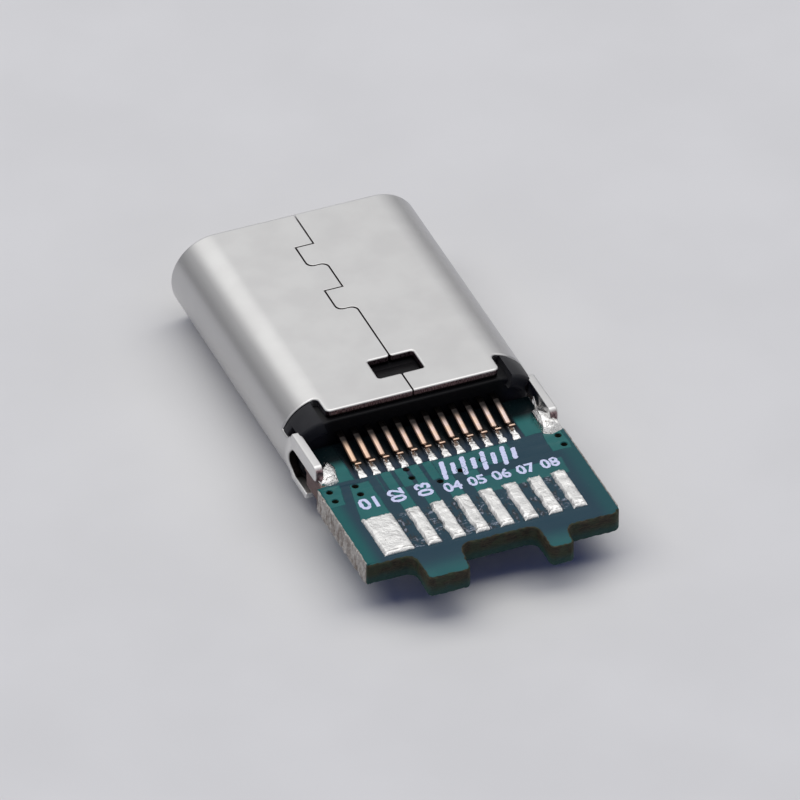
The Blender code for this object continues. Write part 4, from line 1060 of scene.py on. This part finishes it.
pads = [WIDE_PAD]
for index in range(NARROW_COUNT):
    across = FIRST_PAD + index * PAD_PITCH
    pads.append((across - NARROW_PAD / 2, across + NARROW_PAD / 2))
for number, pad in enumerate(pads, 1):
    settle(f"tinned_pad_top_{number}", [wire_pad(pad, 90 + 10 * number)], tin.owner,
           [f"wire_pad_top_{number}"], crease=60)
    settle(f"tinned_pad_bottom_{number}", [flipped(wire_pad(pad, 290 + 10 * number))],
           tin.owner, [f"wire_pad_bottom_{number}"], crease=60)

# Solder at the side arms
# Each prong is soldered to the board's narrow front: a lump that has set in flat facets round
# the prong's end, with the iron's last pull left as a small spike on the right one.

LEFT_LUMP, RIGHT_LUMP, LOW_LUMP, LOW_STRETCH = 0.24, 0.36, 0.42, 1.25
REAR_LUMP_SHARE, REAR_LUMP_PLAN, REAR_LUMP_BACK = 0.9, (0.75, 0.5), 0.28
LUMP_LEVELS = ((1.0, -0.03, -0.03), (0.84, 0.35, 0.70), (0.45, 0.75, 1.05))
LUMP_BEVEL = 0.014
LEFT_PLAN = ((-3.66, -1.05), (-3.52, -1.14), (-3.45, -1.62), (-3.57, -2.27), (-3.93, -2.35),
             (-4.24, -2.34), (-4.19, -1.78))
RIGHT_PLAN = ((3.61, -1.32), (3.93, -1.12), (4.22, -1.20), (4.34, -1.96), (4.36, -2.39),
              (3.92, -2.54), (3.67, -2.38), (3.62, -1.84))
SPIKE_PLACE, SPIKE_TOP, SPIKE_WIDTH = (3.97, -1.04), (3.93, -0.90, 2.42), 0.065


def nugget(plan, height, seed):
    """Lump in flat facets: the convex skin over three shrinking rings of a plan, each moved and
    raised by seeded amounts, with its edges broken by a narrow bevel.
    """
    random = np.random.default_rng(seed)
    centre = plan.mean(axis=0)
    rings = []
    for share, lowest, highest in LUMP_LEVELS:
        ring = centre + (plan - centre) * share * random.uniform(0.9, 1.1, (len(plan), 1))
        level = BOARD_TOP + height * random.uniform(lowest, highest, len(plan))
        rings.append(np.column_stack([ring, level]))
    bm = bmesh.new()
    for point in np.concatenate(rings):
        bm.verts.new(point)
    bmesh.ops.convex_hull(bm, input=bm.verts)
    bmesh.ops.delete(bm, geom=[vert for vert in bm.verts if not vert.link_faces], context='VERTS')
    bmesh.ops.bevel(bm, geom=bm.edges[:], offset=LUMP_BEVEL, segments=2, profile=0.5,
                    affect='EDGES', clamp_overlap=True)
    points = np.array([vert.co for vert in bm.verts])
    faces = [[corner.index for corner in face.verts] for face in bm.faces]
    bm.free()
    return points, faces


def spike():
    """Cone whose section shrinks as (1 - t)^0.7 while its middle leans over to the top."""
    t = np.linspace(0, 1, 16)[:-1, None]
    angle = np.linspace(0, 2 * math.pi, 16, endpoint=False)[None]
    width = SPIKE_WIDTH * (1 - t) ** 0.7
    base = np.array((*SPIKE_PLACE, BOARD_TOP))
    middle = base + (np.array(SPIKE_TOP) - base) * np.concatenate([t ** 1.6, t ** 1.6, t], axis=1)
    return loft(spread(middle[:, :1] + width * np.cos(angle),
                       middle[:, 1:2] + width * 0.7 * np.sin(angle), middle[:, 2:]))


for side_name, plan, tall, seed, extra in (
        ("left", LEFT_PLAN, LEFT_LUMP, 502, []),
        ("right", RIGHT_PLAN, RIGHT_LUMP, 524, [spike()])):
    plan = np.array(plan)
    centre = plan.mean(axis=0)
    rear = centre + (plan - centre) * REAR_LUMP_PLAN - (0, REAR_LUMP_BACK)
    upper = [nugget(plan, tall, seed), nugget(rear, tall * REAR_LUMP_SHARE, seed + 1)]
    lower = nugget(centre + (plan - centre) * (1, LOW_STRETCH), LOW_LUMP, seed + 2)
    settle(f"arm_solder_upper_{side_name}", upper + extra, tin.owner,
           [f"arm_solder_top_{side_name}"], crease=9)
    settle(f"arm_solder_lower_{side_name}", [flipped(lower)], tin.owner,
           [f"arm_solder_bottom_{side_name}"], crease=9)

# Tin on the board's side edges
# The plated side edges were cut through their tin: a thin coat remains, torn into rough flakes
# that stand off the edge and lap onto both faces.

EDGE_START, EDGE_END, EDGE_STEPS, EDGE_FOOT = 2.45, 0.04, 260, (0.06, 0.04)
LAP_START, LAP_HEIGHT, LAP_LEAST = 0.8, 0.012, 0.004
LEFT_COAT, RIGHT_COAT = (0.050, 0.020), (0.018, 0.006)
TORN_TIN = ((0.25, 0.215, 0.195, 1), (0.55, 0.53, 0.51, 1))


def torn_edge(side, y_rear, coat, lap, seed):
    """Coat round the board's edge: over (t, k), t runs along the edge and k over a section that
    laps onto both faces. The thickness steps between flakes: rippled noise rounded to quarters,
    under finer ripples, and the laps' reach is rippled too.
    """
    y = np.linspace(y_rear, -EDGE_START, EDGE_STEPS)[:, None]
    k = np.linspace(-1, 1, 27)[None]
    half = BOARD_THICKNESS / 2 + LAP_HEIGHT
    over = np.clip((np.abs(k) - LAP_START) / (1 - LAP_START), 0, 1)
    z = np.sign(k) * half * np.clip(np.abs(k) / LAP_START, 0, 1)
    plan = spread(y, k) * (1, 0.55)
    flakes = np.round(2.2 * ripples(plan * (1, 1.6), seed, 0.34)) / 4
    thick = coat * np.clip(0.55 + 0.55 * flakes + 0.22 * ripples(plan, seed + 1, 0.12), 0.05, 1.35)
    reach = lap * (1 + 0.7 * ripples(y, seed + 2, 0.6) + 0.2 * ripples(y, seed + 3, 0.15))
    ends = np.clip((1 - np.abs(2 * np.linspace(0, 1, EDGE_STEPS) - 1)) * 30, 0, 1)[:, None]
    out = BOARD_HALF + thick * ends * (1 - over) ** 0.5 - over * np.maximum(reach, LAP_LEAST)[:, None]
    skin = spread(side * out, y, MID_HEIGHT + (z + np.sign(k) * over * 0.008))
    foot = spread(side * (BOARD_HALF - EDGE_FOOT[0]), y,
                  MID_HEIGHT + np.array([[1.0, -1.0]]) * (half - EDGE_FOOT[1]))
    return loft(np.concatenate([skin, foot], axis=1))


torn = Finish("torn_tin")
streaks = torn.grain(0.22, 5, stretch=(1, 1.3, 0.45), rough=0.65)
scale = torn.grain(0.07, 4, rough=0.65)
torn.coat(
    Base_Color=torn.shade(streaks.rise(0.34, 0.66), *TORN_TIN),
    Metallic=1.0,
    Roughness=0.38 + 0.25 * scale,
    Normal=torn.relief(streaks * 0.02 + scale * 0.012))
for side, side_name, reach, coat, seed in (
        (-1, "left", REAR_LEFT - LEFT_ROUND, LEFT_COAT, 700),
        (1, "right", REAR_RIGHT - RIGHT_ROUND, RIGHT_COAT, 720)):
    settle(f"torn_tin_{side_name}", [torn_edge(side, EDGE_END - reach, *coat, seed)], torn.owner,
           [f"edge_tin_{side_name}"], crease=35)

# Printed marks
# Pale lavender ink printed on the mask: a plain number before each wire pad, and a row of
# slanted bars between the pads and the tails. The ink is thin, with slightly ragged edges.

INK_HEIGHT, INK_RAG, INK_RAG_SIZE = 0.010, 0.010, 0.12
PLAIN_NUMBERS = (
    ("01", -3.05, -3.74, 0.56, 0), ("02", -2.06, -3.66, 0.52, 90), ("03", -1.12, -3.70, 0.52, 90),
    ("04", -0.20, -3.94, 0.46, 0), ("05", 0.66, -3.94, 0.46, 0), ("06", 1.52, -3.95, 0.46, 0),
    ("07", 2.38, -3.97, 0.46, 0), ("08", 3.24, -3.98, 0.46, 0))
DIGIT_HEIGHT, DIGIT_SWELL = 0.72, 0.03
BAR_FIRST, BAR_PITCH, BAR_COUNT, BAR_LEAN = -0.16, 0.36, 8, 0.20
BAR_Y, BAR_LONG, BAR_SHORT, BAR_WIDTH, BAR_STEP = -3.02, 0.98, 0.60, 0.17, 0.04
INK = ((0.30, 0.38, 0.46, 1), (0.60, 0.62, 0.78, 1))


def ragged(flat, seed):
    """Outline points (x, y), each moved a little by two sets of ripples."""
    return flat + INK_RAG * spread(ripples(flat, seed, INK_RAG_SIZE), ripples(flat, seed + 1, INK_RAG_SIZE))


def printed(words, x, y, tall, turn):
    """Printed number: a font's outline with some depth, made a mesh, then scaled, turned and
    moved to its place, with its outline rippled.
    """
    letters = bpy.data.curves.new("number", 'FONT')
    letters.body = words
    letters.align_x, letters.align_y = 'CENTER', 'CENTER'
    letters.extrude, letters.offset, letters.resolution_u = 0.5, DIGIT_SWELL, 6
    holder = bpy.data.objects.new("number", letters)
    bpy.context.scene.collection.objects.link(holder)
    mesh = bpy.data.meshes.new_from_object(holder.evaluated_get(bpy.context.evaluated_depsgraph_get()))
    points = np.array([vertex.co for vertex in mesh.vertices])
    faces = [list(polygon.vertices) for polygon in mesh.polygons]
    bpy.data.objects.remove(holder)
    cos, sin = math.cos(math.radians(turn)), math.sin(math.radians(turn))
    flat = points[:, :2] * tall / DIGIT_HEIGHT @ np.array([[cos, sin], [-sin, cos]]) + (x, y)
    return np.column_stack([ragged(flat, 41), BOARD_TOP + INK_HEIGHT * (points[:, 2] + 0.5)]), faces


def bar(x, tall):
    """Slanted bar with round ends and rippled sides, as a low slab."""
    half = BAR_WIDTH / 2
    flat = resampled(rounded_rectangle(half, tall / 2, half * 0.9, ARC_STEPS), BAR_STEP)
    flat = ragged(flat + flat[:, 1:] * (BAR_LEAN, 0) + (x, BAR_Y), 43)
    levels = np.array([[BOARD_TOP - INK_HEIGHT], [BOARD_TOP + INK_HEIGHT]])
    return loft(spread(flat[:, 0], flat[:, 1], levels))


ink = Finish("printed_ink")
patchy = ink.grain(0.10, 4, rough=0.6)
ink.coat(
    Base_Color=ink.shade(patchy.rise(0.30, 0.48), *INK),
    Roughness=0.45 + 0.2 * patchy,
    Normal=ink.relief(patchy * 0.01))
prints = [printed(*number) for number in PLAIN_NUMBERS]
prints += [bar(BAR_FIRST + BAR_PITCH * index, BAR_SHORT if index % 2 else BAR_LONG)
           for index in range(BAR_COUNT)]
settle("printed_marks", prints, ink.owner, crease=50)

bpy.context.view_layer.update()
